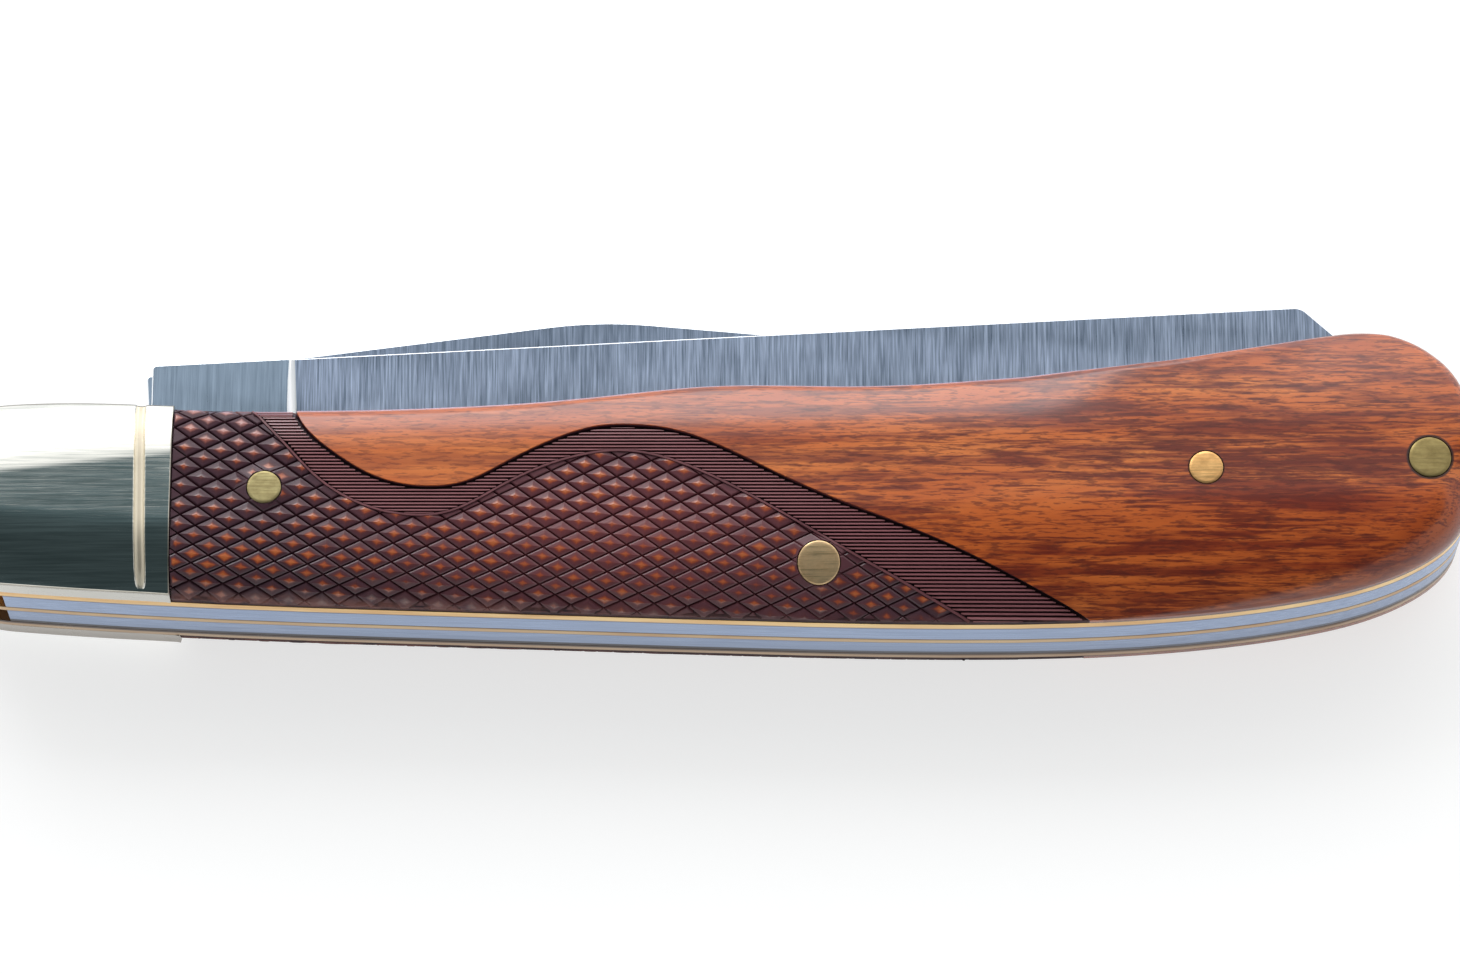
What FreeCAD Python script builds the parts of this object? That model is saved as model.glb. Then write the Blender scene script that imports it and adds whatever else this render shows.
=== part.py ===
import FreeCAD, Part
import math
import os

import Sketcher
from FreeCAD import Placement, Rotation, Vector

# Folding pocket knife with two blades, lying closed on its lower side.
# X runs from the pivot to the tail, Y from the back to the blade side, Z up;
# the origin is the foot of the pivot axis on the resting plane. Millimetres.

DIMENSIONS = [
    ("closed_length", 105.0, "nose to tail, closed"),
    ("handle_width", 20.7, "lowest point of the back to highest point of the front edge"),
    ("nose_reach", 9.4, "pivot axis to the nose"),
    ("back_depth", 10.65, "pivot axis to the lowest point of the back"),
    ("bolster_reach", 6.8, "pivot axis to the joint of bolster and scale"),
    ("cover_thickness", 3.2, "bolster and scale at the middle of the crown"),
    ("liner_thickness", 0.85, "outer liners"),
    ("centre_liner_thickness", 0.7, "liner between the two springs"),
    ("spring_thickness", 2.3, "back springs"),
    ("land_width", 4.4, "flat along the middle of each side"),
    ("crown_drop", 2.6, "fall of the crown over half the handle width"),
    ("crown_tilt", 1.5, "degrees from the X axis to the middle of the crown"),
    ("crown_offset", 1.9, "middle of the crown below the pivot axis"),
    ("scale_rounding", 2.6, "rounded rim of the wooden scales"),
    ("grinding_allowance", 0.5, "stock above the crown before it is ground"),
    ("groove_reach", 4.65, "pivot axis to the groove across the bolster"),
    ("groove_radius", 0.5, "section of the bolster groove"),
    ("groove_depth", 0.25, "depth of the bolster groove"),
    ("pivot_pin_diameter", 3.2, "pin that carries both blades"),
    ("spring_pin_diameter", 2.85, "pins at the middle and tail of the springs"),
    ("scale_pin_diameter", 2.3, "short pins that hold the scales"),
    ("rivet_diameter", 1.6, "blind rivets of the bolsters"),
    ("rivet_cover", 1.2, "metal left over a blind rivet"),
    ("fit_clearance", 0.02, "radial, pins that do not turn"),
    ("running_clearance", 0.03, "radial, blades on the pivot pin"),
    ("side_clearance", 0.05, "blade to liner, each side"),
    ("cam_clearance", 0.03, "tang to spring at the closed and open stops"),
    ("tang_half", 4.2, "pivot axis to each cam flat of the tang"),
    ("tang_corner", 1.2, "corner radius between the cam flats"),
    ("tang_stop", 4.88, "pivot axis to the stop face of the tang"),
    ("spine_height", 8.6, "pivot axis to the spine at the stop face"),
    ("spine_angle", 3.15, "degrees, spine to the cam flats"),
    ("kick_reach", 8.0, "pivot axis to the end of the kick"),
    ("choil_reach", 10.8, "pivot axis to the start of the cutting edge"),
    ("edge_rise", 1.05, "start of the cutting edge above the closed cam flat"),
    ("plunge_reach", 14.0, "pivot axis to the start of the grind"),
    ("plunge_radius", 0.8, "fillet at the start of the grind"),
    ("spine_relief", 0.12, "grind depth at the spine, each side"),
    ("edge_thickness", 0.2, "blade thickness at the cutting edge"),
    ("spey_tip_inset", 7.0, "tail to the tip of the spey blade"),
    ("spey_width", 12.0, "spey blade at its belly, spine to edge"),
    ("spey_point_drop", 4.0, "spey tip below the line of the spine"),
    ("spey_clip_length", 4.2, "short slope at the tip of the spey blade"),
    ("clip_tip_inset", 9.2, "tail to the tip of the clip blade"),
    ("clip_width", 13.0, "clip blade at its belly, spine to edge"),
    ("clip_point_drop", 10.9, "clip tip below the line of the spine"),
    ("clip_start", 36.6, "pivot axis to the start of the long clip"),
    ("clip_hump_radius", 32.0, "rounding where the clip leaves the spine"),
    ("clip_lift", 4.5, "degrees the closed clip blade stands above the spey blade"),
    ("nick_radius", 20.0, "cutter of the nail nicks"),
    ("nick_depth", 0.55, "depth of the nail nicks"),
    ("nick_slope", 30.0, "degrees, floor of a nail nick to the blade face"),
    ("clip_nick_reach", 29.5, "pivot axis to the middle of the clip blade's nick"),
    ("clip_nick_drop", 2.6, "that nick below the spine"),
    ("spey_nick_reach", 75.5, "pivot axis to the middle of the spey blade's nick"),
    ("spey_nick_drop", 1.5, "that nick below the spine"),
]

# Outlines are in shares of closed_length from the nose and of handle_width
# from the lowest point of the back.
RIM_SHARES = [
    (0.046, 0.1145), (0.128, 0.086), (0.375, 0.0377), (0.566, 0.0077), (0.661, 0.0),
    (0.785, 0.0169), (0.89, 0.0812), (0.958, 0.186), (0.992, 0.326), (1.0, 0.587),
    (0.993, 0.809), (0.97, 0.942), (0.93, 1.0), (0.88, 0.965), (0.792, 0.878),
    (0.726, 0.854), (0.613, 0.807), (0.509, 0.809), (0.432, 0.7725), (0.328, 0.732),
    (0.223, 0.7217), (0.154, 0.732), (0.099, 0.7464), (0.0495, 0.7454),
]
NOSE_SHARES = [(0.0495, 0.7454), (0.0, 0.4275), (0.046, 0.1145)]
# Pull of the nose curve at its two ends, as shares of the same two sizes.
NOSE_PULL_SHARES = [(-0.133, -0.029), (0.133, -0.048)]
SPRING_INNER_SHARES = [
    (0.261, 0.22), (0.394, 0.188), (0.508, 0.196), (0.5735, 0.31), (0.637, 0.186),
    (0.737, 0.172), (0.832, 0.2), (0.895, 0.293), (0.924, 0.515), (0.933, 0.722),
]
PIN_PLACE_SHARES = {
    "centre_pin": (0.5735, 0.1763),
    "tail_pin": (0.9701, 0.532),
    "scale_pin_front": (0.2146, 0.427),
    "scale_pin_rear": (0.8247, 0.4966),
    "bolster_rivet_upper": (0.045, 0.606),
    "bolster_rivet_lower": (0.111, 0.23),
}
# Belly of each blade: shares of its straight edge's start to tip distance and of its width.
SPEY_BELLY_SHARES = [(0.0, 1.0), (0.48, 0.935), (0.83, 0.715)]
CLIP_BELLY_SHARES = [(0.0, 1.0), (0.52, 0.98), (0.81, 0.93)]
SPEY_BELLY_START_SHARE = 0.835
CLIP_BELLY_START_SHARE = 0.6
CHOIL_RISE_SHARE = 0.45
CROWN_SIDE_SHARE = 0.6

doc = FreeCAD.newDocument("pocket_knife")
sheet = doc.addObject("Spreadsheet::Sheet", "dims")
for row, (alias, value, note) in enumerate(DIMENSIONS, start=1):
    sheet.set("A%d" % row, note)
    sheet.set("B%d" % row, str(value))
    sheet.setAlias("B%d" % row, alias)
doc.recompute()


def size(alias):
    """Value of one cell of the sheet."""
    return float(sheet.get(alias))


# Levels of the layers, from the resting plane up.
LOWER_LINER_LEVEL = "dims.cover_thickness"
CLIP_LEVEL = LOWER_LINER_LEVEL + " + dims.liner_thickness"
CENTRE_LINER_LEVEL = CLIP_LEVEL + " + dims.spring_thickness"
SPEY_LEVEL = CENTRE_LINER_LEVEL + " + dims.centre_liner_thickness"
UPPER_LINER_LEVEL = SPEY_LEVEL + " + dims.spring_thickness"
UPPER_COVER_LEVEL = UPPER_LINER_LEVEL + " + dims.liner_thickness"
TOTAL_THICKNESS = UPPER_COVER_LEVEL + " + dims.cover_thickness"


def level(layers):
    """Height of a layer expression in numbers."""
    return sum(size(term.strip().removeprefix("dims.")) for term in layers.split("+"))


def along(share):
    """Expression of a place along the handle."""
    return "dims.closed_length * %s - dims.nose_reach" % share


def across(share):
    """Expression of a place across the handle."""
    return "dims.handle_width * %s - dims.back_depth" % share


def handle_point(shares):
    """Point of an outline in numbers."""
    x = size("closed_length") * shares[0] - size("nose_reach")
    y = size("handle_width") * shares[1] - size("back_depth")
    return Vector(x, y, 0)


def rounded_chain(corners):
    """Lines through corners (x, y, radius), with an arc wherever the radius is not 0."""
    curves = []
    here = Vector(corners[0][0], corners[0][1], 0)
    for before, corner, after in zip(corners, corners[1:], corners[2:]):
        vertex = Vector(corner[0], corner[1], 0)
        to_before = (Vector(before[0], before[1], 0) - vertex).normalize()
        to_after = (Vector(after[0], after[1], 0) - vertex).normalize()
        if corner[2] == 0:
            curves.append(Part.LineSegment(here, vertex))
            here = vertex
            continue
        half_angle = to_before.getAngle(to_after) / 2
        inward = (to_before + to_after).normalize()
        start = vertex + to_before * (corner[2] / math.tan(half_angle))
        end = vertex + to_after * (corner[2] / math.tan(half_angle))
        middle = vertex + inward * (corner[2] / math.sin(half_angle) - corner[2])
        curves.append(Part.LineSegment(here, start))
        curves.append(Part.Arc(start, middle, end))
        here = end
    curves.append(Part.LineSegment(here, Vector(corners[-1][0], corners[-1][1], 0)))
    return curves


def curve_through(points, start_pull=None, end_pull=None):
    """Smooth curve through points, with the pull at its ends where it is given."""
    curve = Part.BSplineCurve()
    if start_pull is None:
        curve.interpolate(points)
    else:
        curve.interpolate(Points=points, InitialTangent=start_pull, FinalTangent=end_pull)
    return curve


def handle_outline():
    """Outline shared by liners, springs, bolsters and scales."""
    points = [handle_point(shares) for shares in RIM_SHARES]
    rim = curve_through(points)
    stops = [rim.parameter(point) for point in points]
    pieces = []
    for start, end in zip(stops, stops[1:]):
        piece = rim.copy()
        piece.segment(start, end)
        pieces.append(piece)
    pulls = [
        Vector(size("closed_length") * shares[0], size("handle_width") * shares[1], 0)
        for shares in NOSE_PULL_SHARES
    ]
    nose = curve_through([handle_point(shares) for shares in NOSE_SHARES], *pulls)
    return pieces + [nose]


def draw(sketch, curves):
    """Add a chain of curves to a sketch and join their ends."""
    ends = []
    for curve in curves:
        index = sketch.addGeometry(curve, False)
        start = sketch.getPoint(index, 1)
        kept = start.distanceToPoint(curve.StartPoint) < start.distanceToPoint(curve.EndPoint)
        ends.append((index, 1, 2) if kept else (index, 2, 1))
    for here, following in zip(ends, ends[1:] + ends[:1]):
        sketch.addConstraint(
            Sketcher.Constraint("Coincident", here[0], here[2], following[0], following[1])
        )
    return sketch


def body_sketch(body, name, role):
    """Sketch on one of the body's own origin planes."""
    sketch = body.newObject("Sketcher::SketchObject", name)
    plane = [plane for plane in body.Origin.OriginFeatures if plane.Role == role][0]
    sketch.AttachmentSupport = [(plane, "")]
    sketch.MapMode = "FlatFace"
    return sketch


def plate(label, curves, thickness, height):
    """Body padded from an outline and lifted to its layer."""
    body = doc.addObject("PartDesign::Body", label)
    sketch = draw(body_sketch(body, label + "_outline", "XY_Plane"), curves)
    doc.recompute()
    pad = body.newObject("PartDesign::Pad", label + "_pad")
    pad.Profile = sketch
    pad.setExpression("Length", thickness)
    body.setExpression("Placement.Base.z", height)
    doc.recompute()
    return body


def cut_through(body, sketch):
    """Pocket a sketch through the whole body and check that it removed metal."""
    doc.recompute()
    before = body.Shape.Volume
    pocket = body.newObject("PartDesign::Pocket", sketch.Name + "_pocket")
    pocket.Profile = sketch
    pocket.Type = "ThroughAll"
    pocket.Midplane = True
    doc.recompute()
    if body.Shape.Volume >= before:
        raise RuntimeError(sketch.Name + " removed nothing")


def bore(body, holes, clearance):
    """Round holes through a body; each hole is (x, y, diameter) in expressions."""
    sketch = body_sketch(body, body.Name + "_holes", "XY_Plane")
    for x, y, diameter in holes:
        radius = size(diameter.removeprefix("dims.")) / 2
        circle = sketch.addGeometry(Part.Circle(Vector(0, 0, 0), Vector(0, 0, 1), radius), False)
        bindings = [
            (Sketcher.Constraint("Radius", circle, radius), "%s / 2 + %s" % (diameter, clearance)),
            (Sketcher.Constraint("DistanceX", -1, 1, circle, 3, radius), x),
            (Sketcher.Constraint("DistanceY", -1, 1, circle, 3, radius), y),
        ]
        for constraint, expression in bindings:
            index = sketch.addConstraint(constraint)
            sketch.setExpression("Constraints[%d]" % index, expression)
    cut_through(body, sketch)


def hole(pin, diameter):
    """Hole of a pin from the table of places."""
    shares = PIN_PLACE_SHARES[pin]
    return (along(shares[0]), across(shares[1]), diameter)


def cut_away(body, name, left, right):
    """Remove the stretch of a handle plate between two places along X."""
    reach = size("handle_width")
    corners = [
        (left, -reach, 0), (right, -reach, 0), (right, reach, 0), (left, reach, 0), (left, -reach, 0),
    ]
    cut_through(body, draw(body_sketch(body, name, "XY_Plane"), rounded_chain(corners)))


def boolean(kind, label, base, tool):
    """Boolean of two objects of the document."""
    result = doc.addObject("Part::" + kind, label)
    result.Base = base
    result.Tool = tool
    doc.recompute()
    return result


def cylinder(name, x, y, diameter, height, bottom):
    """Round bar along Z with every size bound to the sheet."""
    bar = doc.addObject("Part::Cylinder", name)
    bar.setExpression("Radius", diameter + " / 2")
    bar.setExpression("Height", height)
    bar.Placement = Placement(Vector(0, 0, 0), Rotation(Vector(1, 0, 0), Vector(0, 1, 0)))
    bar.setExpression("Placement.Base.x", x)
    bar.setExpression("Placement.Base.y", y)
    bar.setExpression("Placement.Base.z", bottom)
    doc.recompute()
    return bar


def mirrored(label, source):
    """The same piece on the lower side of the knife."""
    twin = doc.addObject("Part::Mirroring", label)
    twin.Source = source
    twin.Normal = Vector(0, 0, 1)
    twin.setExpression("Base.z", "(%s) / 2" % TOTAL_THICKNESS)
    doc.recompute()
    return twin


# Crown: the rounded section that bolsters, scales and pin ends are ground to.
land_half = size("land_width") / 2
crown_run = size("handle_width") / 2 - land_half
crown_radius = (crown_run ** 2 + size("crown_drop") ** 2) / (2 * size("crown_drop"))
crown_side = size("handle_width") * CROWN_SIDE_SHARE
total = level(TOTAL_THICKNESS)


def crown_height(offset):
    """Height of the upper crown at a distance from its middle."""
    run = max(abs(offset) - land_half, 0)
    return total - crown_radius + math.sqrt(crown_radius ** 2 - run ** 2)


def crown_curve(lift):
    """Upper crown as arc, land and arc, seen along X."""
    points = []
    for offset in (-crown_side, -(crown_side + land_half) / 2, -land_half):
        points.append(Vector(offset, crown_height(offset) + lift, 0))
    twins = [Vector(-point.x, point.y, 0) for point in reversed(points)]
    return [Part.Arc(*points), Part.LineSegment(points[2], twins[0]), Part.Arc(*twins)]


def crown_placement():
    """Crown axis: along the handle, tilted, through a point beside the pivot."""
    return Placement(
        Vector(0, -size("crown_offset"), 0), Rotation(Vector(0, 0, 1), size("crown_tilt"))
    )


crown = doc.addObject("PartDesign::Body", "crown")
section = body_sketch(crown, "crown_section", "YZ_Plane")
upper_edge = [Vector(side * crown_side, crown_height(crown_side), 0) for side in (-1, 1)]
lower_edge = [Vector(point.x, total - point.y, 0) for point in upper_edge]
lower_arcs = [
    Part.Arc(*[Vector(-sign * offset, total - crown_height(offset), 0) for offset in offsets])
    for sign, offsets in (
        (-1, (crown_side, (crown_side + land_half) / 2, land_half)),
        (1, (land_half, (crown_side + land_half) / 2, crown_side)),
    )
]
draw(section, crown_curve(0) + [
    Part.LineSegment(upper_edge[1], lower_edge[1]),
    lower_arcs[0],
    Part.LineSegment(Vector(land_half, 0, 0), Vector(-land_half, 0, 0)),
    lower_arcs[1],
    Part.LineSegment(lower_edge[0], upper_edge[0]),
])
doc.recompute()
crown_pad = crown.newObject("PartDesign::Pad", "crown_pad")
crown_pad.Profile = section
crown_pad.setExpression("Length", "dims.closed_length * 4")
crown_pad.Midplane = True
crown.Placement = crown_placement()
doc.recompute()

# Liners: three brass plates, the outer two bored for the scale pins and rivets too.
pivot_hole = ("0", "0", "dims.pivot_pin_diameter")
spring_holes = [hole(pin, "dims.spring_pin_diameter") for pin in ("centre_pin", "tail_pin")]
scale_holes = [
    hole(pin, "dims.scale_pin_diameter") for pin in ("scale_pin_front", "scale_pin_rear")
]
rivet_holes = [
    hole(rivet, "dims.rivet_diameter") for rivet in ("bolster_rivet_upper", "bolster_rivet_lower")
]
nodes = []
upper_liner = plate("upper_liner", handle_outline(), "dims.liner_thickness", UPPER_LINER_LEVEL)
bore(upper_liner, [pivot_hole] + spring_holes + scale_holes + rivet_holes, "dims.fit_clearance")
centre_liner = plate(
    "centre_liner", handle_outline(), "dims.centre_liner_thickness", CENTRE_LINER_LEVEL
)
bore(centre_liner, [pivot_hole] + spring_holes, "dims.fit_clearance")
nodes += [upper_liner, centre_liner, mirrored("lower_liner", upper_liner)]

# Springs: the handle outline with the blade well cut out of it.
tongue_top = -(size("tang_half") + size("cam_clearance"))
spring_end = -(size("tang_stop") - size("cam_clearance"))
far = size("closed_length")
inner = [Vector(size("choil_reach"), tongue_top, 0)]
inner += [handle_point(shares) for shares in SPRING_INNER_SHARES]
well = rounded_chain([
    (inner[-1].x, inner[-1].y, 0), (far, inner[-1].y, 0), (far, far, 0), (-far, far, 0),
    (-far, -far, 0), (spring_end, -far, 0), (spring_end, tongue_top, size("tang_corner") / 4),
    (inner[0].x, inner[0].y, 0),
])
well.append(curve_through(inner))
for label, height in (("spey_spring", SPEY_LEVEL), ("clip_spring", CLIP_LEVEL)):
    spring = plate(label, handle_outline(), "dims.spring_thickness", height)
    cut_through(spring, draw(body_sketch(spring, label + "_well", "XY_Plane"), well))
    bore(spring, spring_holes, "dims.fit_clearance")
    nodes.append(spring)


# Blades: tang with cam flats, flat ground from spine to edge, nail nick on the lower face.
def spine_at(x):
    """Height of the spine line in the blade's own frame."""
    rise = (x - size("tang_stop")) * math.tan(math.radians(size("spine_angle")))
    return size("spine_height") + rise


def below_spine(x, drop):
    """Point of a blade at a distance below its spine line."""
    return (x, spine_at(x) - drop, 0)


def blade_outline(tip, shoulder, width, belly_start_share, belly_shares, lift):
    """Outline from the tip over the spine and round the tang to the edge and back."""
    half = size("tang_half")
    corner = size("tang_corner")
    turn = math.radians(lift)
    kick = size("kick_reach")
    choil = size("choil_reach")
    turned = Rotation(Vector(0, 0, 1), -lift)
    flat_end = turned.multVec(Vector(kick, -half, 0))
    choil_top = flat_end + Vector((choil - kick) / 3, half * CHOIL_RISE_SHARE, 0)
    edge_start = turned.multVec(Vector(choil, size("edge_rise") - half, 0))
    heel_y = -half * math.cos(turn) + math.tan(turn) * half * (1 + math.sin(turn))
    belly_x = tip[0] * belly_start_share
    corners = [
        tip,
        shoulder,
        (size("tang_stop"), size("spine_height"), corner / 4),
        (size("tang_stop"), half, corner / 6),
        (-half, half, corner),
        (-half, heel_y, corner),
        (flat_end.x, flat_end.y, corner / 4),
        (choil_top.x, choil_top.y, corner / 4),
        (edge_start.x, edge_start.y, 0),
        below_spine(belly_x, width),
    ]
    belly = []
    for x_share, width_share in belly_shares:
        point = below_spine(belly_x + (tip[0] - belly_x) * x_share, width * width_share)
        belly.append(Vector(*point))
    belly.append(Vector(tip[0], tip[1], 0))
    return rounded_chain(corners) + [curve_through(belly)]


def grind_tool(name, blade_width, side):
    """Block whose one face is the flat grind of a blade, rounded at the plunge."""
    tang = size("spring_thickness") - 2 * size("side_clearance")
    fall = (tang - size("edge_thickness")) / 2 - size("spine_relief")
    angle = math.degrees(math.atan(fall / blade_width))
    block = doc.addObject("Part::Box", name)
    block.setExpression("Length", "dims.closed_length")
    block.setExpression("Width", "dims.handle_width * 2")
    block.setExpression("Height", "dims.spring_thickness * 2")
    doc.recompute()
    turn = Rotation(Vector(0, 0, 1), size("spine_angle")) * Rotation(Vector(1, 0, 0), side * angle)
    foot = Vector(size("plunge_reach"), spine_at(size("plunge_reach")), 0)
    foot.z = tang - size("spine_relief") if side > 0 else size("spine_relief")
    corner = Vector(0, -size("handle_width"), 0 if side > 0 else -2 * size("spring_thickness"))
    block.Placement = Placement(foot, turn) * Placement(corner, Rotation())
    doc.recompute()
    plunge = Placement(foot, turn)
    rounded = doc.addObject("Part::Fillet", name + "_rounded")
    rounded.Base = block
    rounded.Edges = [
        (index, size("plunge_radius"), size("plunge_radius"))
        for index, edge in enumerate(block.Shape.Edges, start=1)
        if all(abs(plunge.inverse().multVec(v.Point).x) + abs(plunge.inverse().multVec(v.Point).z)
               < size("side_clearance") for v in edge.Vertexes)
    ]
    doc.recompute()
    return rounded


def nick_tool(name, x, drop):
    """Tilted disc that cuts a nail nick in the lower face of a blade."""
    slope = math.radians(size("nick_slope"))
    disc = doc.addObject("Part::Cylinder", name)
    disc.setExpression("Radius", "dims.nick_radius")
    disc.setExpression("Height", "dims.handle_width / 4")
    axis = Vector(0, math.cos(slope), math.sin(slope))
    inward = Vector(0, -math.sin(slope), math.cos(slope))
    deepest = Vector(0, 0, size("nick_depth"))
    base = deepest - inward * size("nick_radius") - axis * (size("handle_width") / 4)
    seat = Placement(base, Rotation(Vector(0, 0, 1), axis))
    place = Vector(*below_spine(x, drop))
    disc.Placement = Placement(place, Rotation(Vector(0, 0, 1), size("spine_angle"))) * seat
    doc.recompute()
    return disc


tail = size("closed_length") - size("nose_reach")
spey_tip_x = tail - size("spey_tip_inset")
spey_shoulder = below_spine(spey_tip_x - size("spey_clip_length"), 0)
clip_tip_x = tail - size("clip_tip_inset")
BLADES = {
    "spey": (
        below_spine(spey_tip_x, size("spey_point_drop")),
        (spey_shoulder[0], spey_shoulder[1], size("tang_corner")),
        size("spey_width"), SPEY_BELLY_START_SHARE, SPEY_BELLY_SHARES, 0,
    ),
    "clip": (
        below_spine(clip_tip_x, size("clip_point_drop")),
        (size("clip_start"), spine_at(size("clip_start")), size("clip_hump_radius")),
        size("clip_width"), CLIP_BELLY_START_SHARE, CLIP_BELLY_SHARES, size("clip_lift"),
    ),
}
BLADE_THICKNESS = "dims.spring_thickness - 2 * dims.side_clearance"
for kind, layer in (("spey", SPEY_LEVEL), ("clip", CLIP_LEVEL)):
    blank = plate(kind + "_blank", blade_outline(*BLADES[kind]), BLADE_THICKNESS, "0")
    bore(blank, [pivot_hole], "dims.running_clearance")
    width = size(kind + "_width")
    tools = doc.addObject("Part::MultiFuse", kind + "_tools")
    tools.Shapes = [
        grind_tool(kind + "_upper_grind", width, 1),
        grind_tool(kind + "_lower_grind", width, -1),
        nick_tool(kind + "_nick", size(kind + "_nick_reach"), size(kind + "_nick_drop")),
    ]
    doc.recompute()
    blade = boolean("Cut", kind + "_blade", blank, tools)
    blade.Placement = Placement(Vector(0, 0, 0), Rotation(Vector(0, 0, 1), BLADES[kind][-1]))
    blade.setExpression("Placement.Base.z", layer + " + dims.side_clearance")
    doc.recompute()
    nodes.append(blade)

# Bolsters: nickel silver caps round the pivot, each with one groove.
cover_stock = "dims.cover_thickness + dims.grinding_allowance"
bolster_slab = plate("bolster_slab", handle_outline(), cover_stock, UPPER_COVER_LEVEL)
cut_away(bolster_slab, "bolster_end", size("bolster_reach"), far)
bore(bolster_slab, [pivot_hole], "dims.fit_clearance")
bolster_block = boolean("Common", "bolster_block", bolster_slab, crown)
groove_path = doc.addObject("Sketcher::SketchObject", "groove_path")
draw_lift = size("groove_radius") - size("groove_depth")
for curve in crown_curve(draw_lift):
    groove_path.addGeometry(curve, False)
facing_x = Rotation(Vector(0, 1, 0), Vector(0, 0, 1), Vector(1, 0, 0), "ZXY")
groove_path.Placement = crown_placement() * Placement(Vector(size("groove_reach"), 0, 0), facing_x)
doc.recompute()
groove_profile = doc.addObject("Part::Circle", "groove_profile")
groove_profile.setExpression("Radius", "dims.groove_radius")
path_start = groove_path.Shape.Edges[0]
groove_profile.Placement = Placement(
    path_start.valueAt(path_start.FirstParameter),
    Rotation(Vector(0, 0, 1), path_start.tangentAt(path_start.FirstParameter)),
)
doc.recompute()
groove = doc.addObject("Part::Sweep", "groove")
groove.Sections = [groove_profile]
groove.Spine = (groove_path, ["Edge1", "Edge2", "Edge3"])
groove.Solid = True
doc.recompute()
grooved_bolster = boolean("Cut", "grooved_bolster", bolster_block, groove)
rivet_length = "dims.liner_thickness + dims.cover_thickness - dims.rivet_cover"
rivets = []
seats = doc.addObject("Part::MultiFuse", "rivet_seats")
seat_tools = []
for name in ("bolster_rivet_upper", "bolster_rivet_lower"):
    shares = PIN_PLACE_SHARES[name]
    place = (along(shares[0]), across(shares[1]))
    rivets.append(cylinder(
        "upper_" + name, *place, "dims.rivet_diameter", rivet_length, UPPER_LINER_LEVEL
    ))
    seat_diameter = "(dims.rivet_diameter + 2 * dims.fit_clearance)"
    seat_length = rivet_length + " + dims.fit_clearance"
    seat_tools.append(cylinder(name + "_seat", *place, seat_diameter, seat_length, UPPER_LINER_LEVEL))
seats.Shapes = seat_tools
doc.recompute()
upper_bolster = boolean("Cut", "upper_bolster", grooved_bolster, seats)
nodes += [upper_bolster, mirrored("lower_bolster", upper_bolster)]
for rivet in rivets:
    nodes += [rivet, mirrored(rivet.Name.replace("upper", "lower", 1), rivet)]

# Scales: wooden slabs behind the bolsters, rounded at the rim and ground to the crown.
scale_slab = plate("scale_slab", handle_outline(), cover_stock, UPPER_COVER_LEVEL)
cut_away(scale_slab, "scale_end", -far, size("bolster_reach"))
outline_wire = Part.Wire([curve.toShape() for curve in handle_outline()])
rim_edges = []
for index, edge in enumerate(scale_slab.Shape.Edges, start=1):
    middle = edge.valueAt((edge.FirstParameter + edge.LastParameter) / 2)
    aside = outline_wire.distToShape(Part.Vertex(middle.x, middle.y, 0))[0]
    if middle.z > total and aside < size("fit_clearance"):
        rim_edges.append("Edge%d" % index)
trimmed = scale_slab.Tip
rounding = scale_slab.newObject("PartDesign::Fillet", "scale_rim")
rounding.Base = (trimmed, rim_edges)
rounding.setExpression("Radius", "dims.scale_rounding")
doc.recompute()
bore(scale_slab, spring_holes + scale_holes, "dims.fit_clearance")
upper_scale = boolean("Common", "upper_scale", scale_slab, crown)
nodes += [upper_scale, mirrored("lower_scale", upper_scale)]

# Pins: three right through the knife, four short ones through scale and liner.
for name in ("pivot_pin", "centre_pin", "tail_pin"):
    diameter = "dims.pivot_pin_diameter" if name == "pivot_pin" else "dims.spring_pin_diameter"
    place = ("0", "0") if name == "pivot_pin" else hole(name, diameter)[:2]
    bar_length = TOTAL_THICKNESS + " + 2 * dims.grinding_allowance"
    bar = cylinder(name + "_bar", *place, diameter, bar_length, "-dims.grinding_allowance")
    nodes.append(boolean("Common", name, bar, crown))
for name in ("scale_pin_front", "scale_pin_rear"):
    place = hole(name, "dims.scale_pin_diameter")[:2]
    length = "dims.liner_thickness + " + cover_stock
    bar = cylinder(name + "_bar", *place, "dims.scale_pin_diameter", length, UPPER_LINER_LEVEL)
    pin = boolean("Common", "upper_" + name, bar, crown)
    nodes += [pin, mirrored("lower_" + name, pin)]

for item in doc.Objects:
    if "Invalid" in item.State or "Error" in item.State:
        raise RuntimeError(item.Name + " did not recompute")
os.makedirs("parts", exist_ok=True)
for node in nodes:
    if node.Shape.isNull() or not node.Shape.isValid() or not node.Shape.Solids:
        raise RuntimeError(node.Label + " has no valid solid")
    node.Shape.exportStep("parts/%s.step" % node.Label)
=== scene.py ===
import math

import bmesh
import bpy
import numpy as np
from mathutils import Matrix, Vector
from mathutils.geometry import delaunay_2d_cdt
from mathutils.kdtree import KDTree


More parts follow.
